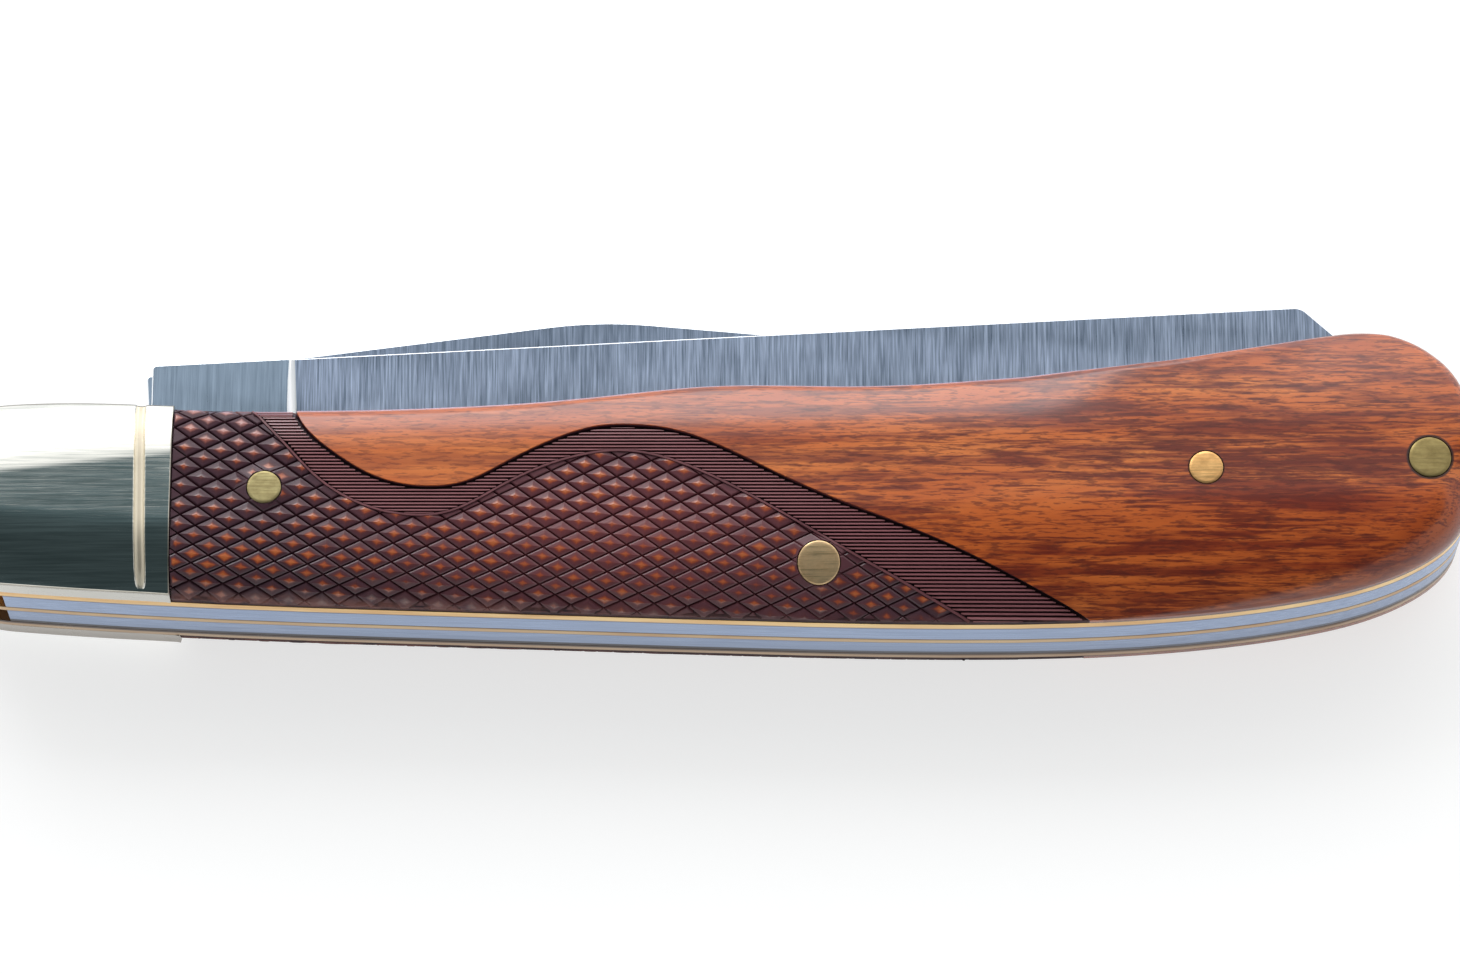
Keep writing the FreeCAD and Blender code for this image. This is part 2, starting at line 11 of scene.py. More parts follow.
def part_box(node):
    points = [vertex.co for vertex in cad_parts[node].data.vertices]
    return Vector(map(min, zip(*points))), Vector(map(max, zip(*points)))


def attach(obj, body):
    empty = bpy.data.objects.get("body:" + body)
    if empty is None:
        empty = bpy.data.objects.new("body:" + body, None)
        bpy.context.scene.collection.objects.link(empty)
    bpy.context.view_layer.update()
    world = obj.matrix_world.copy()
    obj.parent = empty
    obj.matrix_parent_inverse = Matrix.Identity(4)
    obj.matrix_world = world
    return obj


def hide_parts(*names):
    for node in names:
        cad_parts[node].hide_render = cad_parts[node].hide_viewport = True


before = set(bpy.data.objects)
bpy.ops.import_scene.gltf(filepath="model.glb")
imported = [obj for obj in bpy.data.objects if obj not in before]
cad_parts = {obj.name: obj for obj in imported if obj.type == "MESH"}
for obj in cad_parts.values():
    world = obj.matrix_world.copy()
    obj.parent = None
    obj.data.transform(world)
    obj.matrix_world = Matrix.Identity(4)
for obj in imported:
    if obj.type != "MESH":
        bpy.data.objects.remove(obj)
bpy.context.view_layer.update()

MM = 0.001

# Brass liners
# Three rolled brass plates stamped to the outline of the handle. They carry the springs
# and are ground flush with them after riveting, so only their long edges show.
LINER_EASE = 0.03 * MM
MERGE_GAP = 0.001 * MM
FLAT_ANGLE = math.radians(0.2)
SHARP_ANGLE = math.radians(28)
LINER_BRIGHT = (1.00, 0.71, 0.32, 1)
LINER_PATINA = (0.80, 0.49, 0.21, 1)
LINER_LINES = (0.50, 0.30, 0.15, 1)
# The liners are painted darker towards the bottom, over a span of heights.
LINER_LOWER_DARK = (0.31, 0.22, 0.175, 1)
LINER_DIRT_AND_SHADE = (0.045, 0.026, 0.020, 1)
LINER_DARKENING_SPAN = (5.2, 9.6)
# Dirt and painted shade in the joints between plates: level, half width, strength at the nose and
# at the tail. The wide first one is painted shadow of a gap.
SEAMS = (
    (4.14, 0.50, 0.97, 0.75), (6.35, 0.08, 0.35, 0.35),
    (7.05, 0.16, 0.50, 0.50), (9.35, 0.14, 0.45, 0.40),
)
SEAM_CORE_SHARE = 0.65
SEAM_SPAN = (40.0, 85.0)
# Tilts in degrees between which the flats end and the ground backs begin.
GROUND_TILTS = (5.0, 12.0)


def in_scene(name, data):
    """New object in the scene."""
    thing = bpy.data.objects.new(name, data)
    bpy.context.scene.collection.objects.link(thing)
    return thing


def mesh_of(shape, name):
    """Mesh that takes over a finished shape."""
    mesh = bpy.data.meshes.new(name)
    shape.to_mesh(mesh)
    shape.free()
    return mesh


def plain_mesh(piece):
    """Mesh of a piece with its modifiers applied."""
    return bpy.data.meshes.new_from_object(
        piece.evaluated_get(bpy.context.evaluated_depsgraph_get()))


def smoothed(mesh):
    """Shade every face of a mesh smooth."""
    mesh.polygons.foreach_set("use_smooth", [True] * len(mesh.polygons))


def noted(mesh, label, kind, domain, values):
    """Write an attribute of a mesh."""
    mesh.attributes.new(label, kind, domain).data.foreach_set("value", values)


def eased(node, ease):
    """Copy of a CAD piece with its sharp edges broken by a small bevel, as after polishing."""
    shape = bmesh.new()
    shape.from_mesh(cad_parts[node].data)
    bmesh.ops.remove_doubles(shape, verts=shape.verts, dist=MERGE_GAP)
    bmesh.ops.dissolve_limit(shape, angle_limit=FLAT_ANGLE, verts=shape.verts, edges=shape.edges)
    mesh = mesh_of(shape, node + "_eased")
    if "custom_normal" in mesh.attributes:
        mesh.attributes.remove(mesh.attributes["custom_normal"])
    smoothed(mesh)
    piece = in_scene(node + "_eased", mesh)
    bevel = piece.modifiers.new("ease", "BEVEL")
    bevel.width = ease
    bevel.segments = 2
    bevel.limit_method = "ANGLE"
    bevel.angle_limit = SHARP_ANGLE
    bevel.use_clamp_overlap = False
    bevel.harden_normals = True
    plain = plain_mesh(piece)
    piece.modifiers.remove(bevel)
    piece.data = plain
    bpy.data.meshes.remove(mesh)
    tilts = [math.degrees(math.acos(min(1.0, abs(face.normal.z)))) for face in plain.polygons]
    noted(plain, "tilt", "FLOAT", "FACE", tilts)
    return piece


def put(piece, body, slot, finish, *nodes):
    """Give a finished piece its material and its body, and hide the CAD nodes it stands for. The
    slot is not used.
    """
    piece.data.materials.clear()
    piece.data.materials.append(finish)
    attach(piece, body)
    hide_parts(*nodes)


def new_finish(name):
    """Node material with only a Principled shader, returned as (material, tree, shader)."""
    finish = bpy.data.materials.new(name)
    finish.use_nodes = True
    tree = finish.node_tree
    return finish, tree, tree.nodes["Principled BSDF"]


def add(tree, kind, inputs=None, **settings):
    """New node; each input is a value or the socket that feeds it. Returns the node."""
    node = tree.nodes.new(kind)
    for name, value in settings.items():
        setattr(node, name, value)
    for name, value in (inputs or {}).items():
        if isinstance(value, bpy.types.NodeSocket):
            tree.links.new(value, node.inputs[name])
        else:
            node.inputs[name].default_value = value
    return node


def streaks(tree, scale, detail, turn=0.0, sway=0.0):
    """Noise on Object coordinates with one frequency per axis, in cycles per millimetre."""
    stretched = add(tree, "ShaderNodeMapping", {
        "Vector": add(tree, "ShaderNodeTexCoord").outputs["Object"],
        "Rotation": (0.0, 0.0, turn),
        "Scale": [cycles / MM for cycles in scale],
    })
    return add(tree, "ShaderNodeTexNoise", {
        "Vector": stretched.outputs["Vector"], "Scale": 1.0, "Detail": detail, "Roughness": 0.6,
        "Distortion": sway,
    }).outputs["Fac"]


def spread(tree, source, low, high, start, end):
    """Map a span of a source to a span of a value."""
    return add(tree, "ShaderNodeMapRange", {
        "Value": source, "From Min": low, "From Max": high, "To Min": start, "To Max": end,
    }).outputs["Result"]


def place_of(tree):
    """Object coordinates, apart as X, Y and Z."""
    return add(tree, "ShaderNodeSeparateXYZ", {
        "Vector": add(tree, "ShaderNodeTexCoord").outputs["Object"]}).outputs


def ramped(tree, axis, span, start, end):
    """Value that changes over a span of one axis, in millimetres."""
    return spread(tree, place_of(tree)[axis], span[0] * MM, span[1] * MM, start, end)


def attribute(tree, label):
    """Value of an attribute of the mesh."""
    return add(tree, "ShaderNodeAttribute", attribute_name=label).outputs["Fac"]


def blended(tree, share, one, other, mode="MIX"):
    """Mix of two colours."""
    return add(tree, "ShaderNodeMix", {0: share, 6: one, 7: other},
               data_type="RGBA", blend_type=mode).outputs[2]


def raised(tree, height, depth, strength):
    """Bump of a height pattern."""
    return add(tree, "ShaderNodeBump", {
        "Height": height, "Distance": depth, "Strength": strength,
    }).outputs["Normal"]


def math_node(tree, operation, one, other=0.0):
    """Result of a sum on one or two values in a node tree."""
    return add(tree, "ShaderNodeMath", {0: one, 1: other}, operation=operation).outputs[0]


def times(tree, one, other):
    """Product of two values in a node tree."""
    return math_node(tree, "MULTIPLY", one, other)


def fed(tree, shader, **sockets):
    """Link sockets to the inputs of a shader, named with underscores for spaces."""
    for name, socket in sockets.items():
        tree.links.new(socket, shader.inputs[name.replace("_", " ")])


def metal(tree, shader, colour, roughness, normal):
    """Feed a shader as bare metal."""
    shader.inputs["Metallic"].default_value = 1.0
    fed(tree, shader, Base_Color=colour, Roughness=roughness, Normal=normal)


def seams(tree):
    """Dirt and painted shade along the joints between plates, on the ground backs and not on their
    flats.
    """
    level = place_of(tree)["Z"]
    dirt_and_shade = 0.0
    for joint, half_width, at_nose, at_tail in SEAMS:
        away = math_node(tree, "ABSOLUTE", math_node(tree, "SUBTRACT", level, joint * MM))
        line = spread(tree, away, half_width * SEAM_CORE_SHARE * MM, half_width * MM, 1.0, 0.0)
        depth = ramped(tree, "X", SEAM_SPAN, at_nose, at_tail)
        dirt_and_shade = math_node(tree, "MAXIMUM", dirt_and_shade, times(tree, line, depth))
    return times(tree, dirt_and_shade, spread(tree, attribute(tree, "tilt"), *GROUND_TILTS, 0.0, 1.0))


liner_brass, tree, shader = new_finish("liner_brass")
rolled = streaks(tree, (0.12, 9.0, 9.0), 3.0)
patina = streaks(tree, (0.10, 0.5, 0.35), 3.0)
brass = blended(tree, spread(tree, patina, 0.38, 0.68, 0.0, 1.0), LINER_BRIGHT, LINER_PATINA)
brass = blended(tree, spread(tree, rolled, 0.4, 0.75, 0.0, 0.4), brass, LINER_LINES)
brass = blended(tree, ramped(tree, "Z", LINER_DARKENING_SPAN, 0.75, 0.0), brass, LINER_LOWER_DARK)
brass = blended(tree, seams(tree), brass, LINER_DIRT_AND_SHADE)
metal(tree, shader, brass, spread(tree, patina, 0.3, 0.7, 0.26, 0.42),
      raised(tree, rolled, 0.02 * MM, 0.35))
for liner in ("lower_liner", "centre_liner", "upper_liner"):
    put(eased(liner, LINER_EASE), "handle", "liner_brass", liner_brass, liner)

# Back springs
# Two hardened steel bars along the back, one under each blade, pinned at the middle and
# the tail. Their backs are belt ground along the length together with the liners.
SPRING_EASE = 0.06 * MM
# The blue tint of the steel colours is a painted reflection of a bluish surround.
SPRING_CLOUDS = ((0.39, 0.50, 0.71, 1), (0.33, 0.43, 0.63, 1))
SPRING_LINES = (0.27, 0.35, 0.52, 1)
SPRING_SHADE = (0.12, 0.15, 0.22, 1)
SPRING_DIRT_AND_SHADE = (0.025, 0.018, 0.018, 1)
SPRING_SHADE_SPAN = (4.3, 7.3)

spring_steel, tree, shader = new_finish("spring_steel")
ground = streaks(tree, (0.05, 7.0, 7.0), 3.0)
steel = blended(tree, streaks(tree, (0.06, 0.4, 0.4), 2.0), *SPRING_CLOUDS)
steel = blended(tree, spread(tree, ground, 0.3, 0.72, 0.0, 1.0), steel, SPRING_LINES)
steel = blended(tree, ramped(tree, "Z", SPRING_SHADE_SPAN, 0.34, 0.0), steel, SPRING_SHADE)
steel = blended(tree, seams(tree), steel, SPRING_DIRT_AND_SHADE)
metal(tree, shader, steel, spread(tree, ground, 0.3, 0.7, 0.24, 0.36),
      raised(tree, ground, 0.015 * MM, 0.3))
for spring in ("clip_spring", "spey_spring"):
    put(eased(spring, SPRING_EASE), "handle", "spring_steel", spring_steel, spring)

# Blades
# A clip blade below and a spey blade above, both on the one pivot. Stamped steel, flat
# ground from the plunge line on and satin finished across the blade.
BLADE_EASE = 0.07 * MM
SATIN_TURN = math.radians(-2.0)
SATIN_DARK = (0.31, 0.38, 0.52, 1)
SATIN_BRIGHT = (0.62, 0.72, 0.93, 1)
SATIN_SCRATCH = (0.29, 0.355, 0.48, 1)
TANG_DARK = (0.19, 0.245, 0.315, 1)
TANG_BRIGHT = (0.255, 0.318, 0.40, 1)
# The lower blade is painted darker, as shade cast on it by the upper one.
LOWER_BLADE_SHADE = (0.20, 0.25, 0.33, 1)
LOWER_BLADE_SHADE_SPAN = (6.3, 7.0)
# Painted highlight on the plunge line and the eased edges of the blades.
PLUNGE_HIGHLIGHT = (0.95, 0.97, 1.0, 1)
# Tilts in degrees at which the flat grind, the plunge line and the spine begin.
GRIND_TILTS = (2.0, 3.5)
PLUNGE_TILTS = (7.0, 12.0)
SPINE_TILTS = (72.0, 82.0)


def plus(tree, one, *others):
    """Sum of values in a node tree."""
    for other in others:
        one = math_node(tree, "ADD", one, other)
    return one


blade_steel, tree, shader = new_finish("blade_steel")
satin = streaks(tree, (9.0, 0.20, 2.0), 4.0, SATIN_TURN)
coarse = streaks(tree, (3.6, 0.10, 1.0), 2.0, SATIN_TURN)
handled = streaks(tree, (0.08, 0.3, 0.3), 2.0)
tilt = attribute(tree, "tilt")
steel = blended(tree, spread(tree, satin, 0.34, 0.66, 0.0, 1.0), SATIN_DARK, SATIN_BRIGHT)
steel = blended(tree, spread(tree, coarse, 0.40, 0.7, 0.0, 0.20), steel, SATIN_SCRATCH)
steel = blended(tree, ramped(tree, "Z", LOWER_BLADE_SHADE_SPAN, 0.42, 0.0), steel, LOWER_BLADE_SHADE)
tang = blended(tree, spread(tree, satin, 0.32, 0.70, 0.0, 1.0), TANG_DARK, TANG_BRIGHT)
steel = blended(tree, spread(tree, tilt, *GRIND_TILTS, 0.0, 1.0), tang, steel)
# Faces tilted between the plunge and the spine get the painted highlight.
highlight_share = times(tree, spread(tree, tilt, *PLUNGE_TILTS, 0.0, 1.0),
                  spread(tree, tilt, *SPINE_TILTS, 1.0, 0.0))
steel = blended(tree, highlight_share, steel, PLUNGE_HIGHLIGHT)
roughness = plus(tree, spread(tree, satin, 0.3, 0.7, 0.28, 0.38),
                 spread(tree, handled, 0.3, 0.7, -0.03, 0.05))
metal(tree, shader, steel, roughness, raised(tree, satin, 0.02 * MM, 0.45))
for blade in ("clip_blade", "spey_blade"):
    put(eased(blade, BLADE_EASE), blade, "blade_steel", blade_steel, blade)

# Pivot pin and bolster rivets
# The pivot pin is nickel silver, peened and ground away until it can't be told from the
# bolsters; four blind brass rivets hold the bolsters to the liners from inside.
PIVOT_RADIUS = 1.6
PIVOT_INSET = 0.45
PIVOT_SIDES = 48
PIVOT_ROUNDING = 0.15
PIVOT_CORNER = 1.0  # radians
PIVOT_BRIGHT = (0.70, 0.68, 0.62, 1)
PIVOT_DULL = (0.56, 0.54, 0.49, 1)
RIVET_BRIGHT = (0.78, 0.55, 0.24, 1)
RIVET_DULL = (0.55, 0.36, 0.15, 1)


def drawn_metal(name, scale, detail, bright, dull, smoothest, roughest):
    """Finish of drawn wire, with fine lines in its colour, its gloss and its surface."""
    finish, tree, shader = new_finish(name)
    drawn = streaks(tree, scale, detail)
    metal(tree, shader, blended(tree, drawn, bright, dull),
          spread(tree, drawn, 0.3, 0.7, smoothest, roughest), raised(tree, drawn, 0.01 * MM, 0.3))
    return finish


pivot_silver = drawn_metal(
    "pivot_silver", (1.5, 1.5, 8.0), 2.0, PIVOT_BRIGHT, PIVOT_DULL, 0.2, 0.35)
rivet_brass = drawn_metal(
    "rivet_brass", (2.0, 2.0, 0.4), 3.0, RIVET_BRIGHT, RIVET_DULL, 0.28, 0.42)
for side in ("upper", "lower"):
    for end in ("upper", "lower"):
        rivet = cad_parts["%s_bolster_rivet_%s" % (side, end)]
        rivet.data.materials.clear()
        rivet.data.materials.append(rivet_brass)

low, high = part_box("pivot_pin")
shape = bmesh.new()
bmesh.ops.create_cone(shape, cap_ends=True, segments=PIVOT_SIDES, radius1=PIVOT_RADIUS * MM,
                      radius2=PIVOT_RADIUS * MM, depth=high.z - low.z - 2 * PIVOT_INSET * MM)
bmesh.ops.translate(shape, verts=shape.verts, vec=(low + high) / 2)
bmesh.ops.bevel(shape, geom=[edge for edge in shape.edges if edge.calc_face_angle() > PIVOT_CORNER],
                offset=PIVOT_ROUNDING * MM, segments=3, profile=0.5, affect="EDGES")
pivot = in_scene("pivot_pin_peened", mesh_of(shape, "pivot"))
put(pivot, "handle", "pivot_nickel_silver", pivot_silver, "pivot_pin")

# Bolsters
# Nickel silver caps over the pivot, ground to the crown with the scales and mirror
# polished along the handle. One round groove is filed across each, dying out at the back.
TOTAL = 13.4
COVER_BASE = 10.2
LAND_HALF = 2.2
CROWN_RADIUS = 14.07
CROWN_TILT = math.radians(1.5)
CROWN_OFFSET = 1.9
JOINT = 6.8
RIM_SPACING = 0.45
TOP_TOLERANCE = 0.001
GROOVE_PLACE = 4.65
GROOVE_RADIUS = 0.42
GROOVE_DEPTH = 0.26
GROOVE_LIP = 0.04
GROOVE_END = 0.25
GROOVE_FADE = 1.6
BOLSTER_TWIST = 0.085
BOLSTER_EDGE = 0.14
# Roll towards the back: its width, its drop at the joint and how much more it drops to the nose.
BOLSTER_ROUNDING = 5.2
BOLSTER_DROP = 0.75
BOLSTER_FALL = 0.055
# Smaller roll at the front. The one at the back takes over from it across a stretch of y.
BOLSTER_FRONT_ROUNDING = 2.4
BOLSTER_FRONT_DROP = 0.5
BOLSTER_TURN_START = 1.0
BOLSTER_TURN_RUN = 4.0
# Grid of the top, finer at the nose, in the groove and at the back.
NOSE_COLUMNS = 30
NOSE_REACH = 12.9
GROOVE_COLUMNS = 41
GROOVE_HALF_SPAN = 0.6
GROOVE_LEAN_REACH = 1.2
JOINT_COLUMNS = 7
JOINT_COLUMNS_START = 5.4
BACK_ROWS = 24
BACK_ROWS_SHARE = 0.16
FRONT_ROWS = 73
TIP_RUN = 0.6
# Rings of the rounded edge: push and drop as shares of the edge, lean of the normal. The last
# ring stands on the liner.
EDGE_RINGS = ((0.42, 0.04, 0.35), (0.76, 0.2, 0.75), (1.0, 0.62, 1.0), (1.0, None, 1.0))
EDGE_HEIGHT = 1.6
DULL_RINGS = 2
SILVER_DARK = (0.60, 0.62, 0.59, 1)
SILVER_BRIGHT = (1.0, 0.99, 0.94, 1)
GROOVE_SILVER = (0.84, 0.77, 0.63, 1)
GROOVE_DIRT = (0.42, 0.35, 0.26, 1)
# Painted shade on the bolster walls: darker than the crown, and darkest low down at the lower
# bolster next to the table.
WALL_SHADED_LOW = (0.36, 0.33, 0.30, 1)
WALL_HIGH = (0.66, 0.65, 0.60, 1)
WALL_SHADE_SPAN = (2.0, 6.0)
EDGE_DIRT = (0.20, 0.17, 0.12, 1)


def crown(x, y):
    """Height of the upper crown in millimetres."""
    aside = -math.sin(CROWN_TILT) * x + math.cos(CROWN_TILT) * (y + CROWN_OFFSET)
    run = np.maximum(np.abs(aside) - LAND_HALF, 0.0)
    return TOTAL - CROWN_RADIUS + np.sqrt(CROWN_RADIUS ** 2 - run ** 2)


def slopes(surface, x, y):
    """Unit normals of a height surface."""
    step = 0.004
    across_x = (surface(x + step, y) - surface(x - step, y)) / (2 * step)
    across_y = (surface(x, y + step) - surface(x, y - step)) / (2 * step)
    found = np.stack([-across_x, -across_y, np.ones_like(across_x)], axis=1)
    return found / np.linalg.norm(found, axis=1)[:, None]


def open_loops(faces):
    """Open edges of a set of faces, as ordered loops of their corners."""
    sides = {}
    for face in faces:
        for start, end in zip(face, face[1:] + face[:1]):
            sides[start, end] = True
    following = {start: end for start, end in sides if (end, start) not in sides}
    loops = []
    while following:
        start, here = following.popitem()
        loop = [start]
        while here != start:
            loop.append(here)
            here = following.pop(here)
        loops.append(loop)
    return loops


def rim_of(node):
    """Outer outline of a CAD plate as an ordered loop of points, counter-clockwise."""
    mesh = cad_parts[node].data
    points = np.array([vertex.co for vertex in mesh.vertices]) / MM
    top = points[:, 2].max()
    corners = [tuple(np.round(point[:2], 4)) for point in points]
    flats = [[corners[index] for index in face.vertices] for face in mesh.polygons
             if all(points[index][2] > top - TOP_TOLERANCE for index in face.vertices)]
    loops = [np.array(loop) for loop in open_loops(flats)]
    return max(loops, key=lambda loop: np.ptp(loop[:, 0]))


def flowing(points, spacing, closed=False):
    """Smooth line through points, resampled at an even spacing."""
    points = np.asarray(points, float)
    if closed:
        wrap = 6
        points = np.concatenate([points[-wrap:], points, points[:wrap + 1]])
    run = np.concatenate([[0], np.cumsum(np.linalg.norm(np.diff(points, axis=0), axis=1))])
    count = len(points)
    gaps = np.diff(run)
    matrix = np.eye(count)
    right = np.zeros((count, 2))
    for index in range(1, count - 1):
        before, after = gaps[index - 1], gaps[index]
        matrix[index, index - 1:index + 2] = before, 2 * (before + after), after
        right[index] = 6 * ((points[index + 1] - points[index]) / after
                            - (points[index] - points[index - 1]) / before)
    bend = np.linalg.solve(matrix, right)
    start, end = (run[wrap], run[-wrap - 1]) if closed else (0.0, run[-1])
    steps = max(2, int(round((end - start) / spacing)))
    stops = np.linspace(start, end, steps + 1)
    if closed:
        stops = stops[:-1]
    spot = np.clip(np.searchsorted(run, stops, "right") - 1, 0, count - 2)
    share = stops - run[spot]
    rest = gaps[spot] - share
    width = gaps[spot][:, None]
    share, rest = share[:, None], rest[:, None]
    return ((bend[spot] * rest ** 3 + bend[spot + 1] * share ** 3) / (6 * width)
            + (points[spot] / width - bend[spot] * width / 6) * rest
            + (points[spot + 1] / width - bend[spot + 1] * width / 6) * share)


def outward(loop):
    """Unit normals pointing out of a counter-clockwise loop."""
    along = np.roll(loop, -1, axis=0) - np.roll(loop, 1, axis=0)
    found = np.stack([along[:, 1], -along[:, 0]], axis=1)
    return found / np.linalg.norm(found, axis=1)[:, None]


def made(name, side, points, faces, normals, attributes):
    """Object from points in millimetres, faces and a normal for each corner, for either side."""
    used = np.unique(np.concatenate([np.asarray(face) for face in faces]))
    order = np.zeros(len(points), int)
    order[used] = np.arange(len(used))
    points = np.array(points)[used]
    faces = [[int(order[corner]) for corner in face] for face in faces]
    attributes = {label: np.asarray(values)[used] for label, values in attributes.items()}
    if side == "lower":
        points = points * (1, 1, -1) + (0, 0, TOTAL)
        faces = [face[::-1] for face in faces]
        normals = [[corner * (1, 1, -1) for corner in face[::-1]] for face in normals]
    name = side + name
    mesh = bpy.data.meshes.new(name)
    mesh.from_pydata([tuple(point) for point in points * MM], [], faces)
    smoothed(mesh)
    for label, values in attributes.items():
        noted(mesh, label, "FLOAT", "POINT", np.asarray(values, np.float32))
    mesh.normals_split_custom_set([tuple(corner) for face in normals for corner in face])
    return in_scene(name, mesh)


rim = flowing(rim_of("upper_liner"), RIM_SPACING, closed=True)
nose = int(np.argmin(rim[:, 0]))
rim = np.roll(rim, -nose, axis=0)
tail = int(np.argmax(rim[:, 0]))
back_edge = rim[:tail + 1]
front_edge = np.concatenate([rim[tail:], rim[:1]])[::-1]


def bolster_crown(x, y):
    """Crown of the bolster, which swings towards the back at the nose."""
    return crown(x, y + BOLSTER_TWIST * (JOINT - x))


def grooved(x, y):
    """Crown of the bolster with the filed groove in it."""
    aside = x * math.cos(CROWN_TILT) + (y + CROWN_OFFSET) * math.sin(CROWN_TILT) - GROOVE_PLACE
    aside = np.minimum(np.abs(aside), GROOVE_RADIUS)
    from_back = y - np.interp(x, back_edge[:, 0], back_edge[:, 1]) - GROOVE_END
    fade = np.clip(from_back / GROOVE_FADE, 0.0, 1.0)
    depth = GROOVE_DEPTH * np.sqrt(fade * (2 - fade))
    cut = depth - GROOVE_RADIUS + np.sqrt(GROOVE_RADIUS ** 2 - aside ** 2)
    soft = np.clip(0.5 + cut / (2 * GROOVE_LIP), 0.0, 1.0)
    return bolster_crown(x, y) - (cut * soft + GROOVE_LIP * soft * (1 - soft))


rim_tree = KDTree(len(rim))
for number, spot in enumerate(rim):
    rim_tree.insert((*spot, 0.0), number)
rim_tree.balance()


def rim_distance(x, y):
    """Distance inside the outline of the handle, in millimetres; below zero outside it."""
    spots = np.stack([x, y], axis=1)
    nearest = np.array([rim_tree.find((*spot, 0.0))[1] for spot in spots])
    found = np.full(len(spots), np.inf)
    for start in (nearest - 1, nearest):
        along = rim[(start + 1) % len(rim)] - rim[start]
        offset = spots - rim[start]
        share = np.clip((offset * along).sum(1) / (along ** 2).sum(1), 0, 1)
        apart = np.linalg.norm(offset - share[:, None] * along, axis=1)
        apart *= np.where(along[:, 0] * offset[:, 1] >= along[:, 1] * offset[:, 0], 1, -1)
        found = np.where(np.abs(apart) < np.abs(found), apart, found)
    return found


def gentle(share):
    """Share from nought to one with a gentle start and end."""
    share = np.clip(share, 0, 1)
    return share * share * (3 - 2 * share)


def bolster_top(x, y):
    """Grooved crown, rolled off towards the back and more so at the nose."""
    from_back = y - np.interp(x, back_edge[:, 0], back_edge[:, 1])
    back_lean = np.clip(1 - from_back / BOLSTER_ROUNDING, 0.0, 1.0)
    front_lean = np.clip(1 - rim_distance(x, y) / BOLSTER_FRONT_ROUNDING, 0.0, 1.0)
    turn = gentle((BOLSTER_TURN_START - y) / BOLSTER_TURN_RUN)
    drop = turn * (BOLSTER_DROP + BOLSTER_FALL * (JOINT - x)) * back_lean ** 2
    return grooved(x, y) - drop - (1 - turn) * BOLSTER_FRONT_DROP * front_lean ** 2


columns = np.concatenate([
    rim[0, 0] + BOLSTER_EDGE + (1 - np.cos(np.linspace(0, math.pi / 2, NOSE_COLUMNS))) * NOSE_REACH,
    GROOVE_PLACE + np.linspace(-GROOVE_HALF_SPAN, GROOVE_HALF_SPAN, GROOVE_COLUMNS),
    np.linspace(JOINT_COLUMNS_START, JOINT - BOLSTER_EDGE, JOINT_COLUMNS),
])
rows = np.concatenate([np.linspace(0, BACK_ROWS_SHARE, BACK_ROWS),
                       np.linspace(BACK_ROWS_SHARE, 1, FRONT_ROWS)[1:]])
inset = BOLSTER_EDGE * np.clip((columns - columns[0]) / TIP_RUN, 0, 1)
span_back = np.interp(columns, back_edge[:, 0], back_edge[:, 1]) + inset
span_front = np.interp(columns, front_edge[:, 0], front_edge[:, 1]) - inset
lean = np.exp(-((columns - GROOVE_PLACE) / GROOVE_LEAN_REACH) ** 4) * math.tan(CROWN_TILT)
plan_y = span_back[:, None] + rows[None, :] * (span_front - span_back)[:, None]
plan_x = columns[:, None] - lean[:, None] * (plan_y + CROWN_OFFSET)
plan_y[0, :] = (span_back[0] + span_front[0]) / 2
index = np.arange(plan_x.size).reshape(plan_x.shape)
index[0, :] = index[0, 0]
faces = []
for column in range(len(columns) - 1):
    for row in range(len(rows) - 1):
        corners = [index[column, row], index[column + 1, row],
                   index[column + 1, row + 1], index[column, row + 1]]
        faces.append(list(dict.fromkeys(corners)))
flat_x, flat_y = plan_x.ravel(), plan_y.ravel()
points = np.stack([flat_x, flat_y, bolster_top(flat_x, flat_y)], axis=1)
face_up = slopes(bolster_top, flat_x, flat_y)
normals = [[face_up[corner] for corner in face] for face in faces]
edge = np.concatenate([index[:, 0], index[-1, 1:], index[-2:0:-1, -1]])
out = outward(points[edge, :2])
corner_push = np.ones(len(edge))
corner_push[len(columns) - 1] = corner_push[len(columns) + len(rows) - 2] = math.sqrt(2)
previous, previous_normal = edge, face_up[edge]
for push, drop, lean_out in EDGE_RINGS:
    ring = np.empty((len(edge), 3))
    ring[:, :2] = points[edge, :2] + out * (BOLSTER_EDGE * push * corner_push)[:, None]
    ring[:, 2] = COVER_BASE if drop is None else points[edge, 2] - BOLSTER_EDGE * drop * EDGE_HEIGHT
    ring_normal = face_up[edge] * (1 - lean_out)
    ring_normal[:, :2] += out * lean_out
    ring_normal /= np.linalg.norm(ring_normal, axis=1)[:, None]
    number = len(points) + np.arange(len(edge))
    points = np.concatenate([points, ring])
    for here in range(len(edge)):
        there = (here + 1) % len(edge)
        faces.append([previous[here], number[here], number[there], previous[there]])
        normals.append([previous_normal[here], ring_normal[here],
                        ring_normal[there], previous_normal[there]])
    previous, previous_normal = number, ring_normal
faces.append(list(previous[::-1]))
normals.append([np.array((0.0, 0.0, -1.0))] * len(previous))
wall_start = plan_x.size + DULL_RINGS * len(edge)
sunk_share, dull_share, wall_share = np.zeros((3, len(points)))
sunk_share[:plan_x.size] = (bolster_crown(flat_x, flat_y) - grooved(flat_x, flat_y)) / GROOVE_DEPTH
dull_share[plan_x.size:wall_start] = 1.0
wall_share[wall_start:] = 1.0

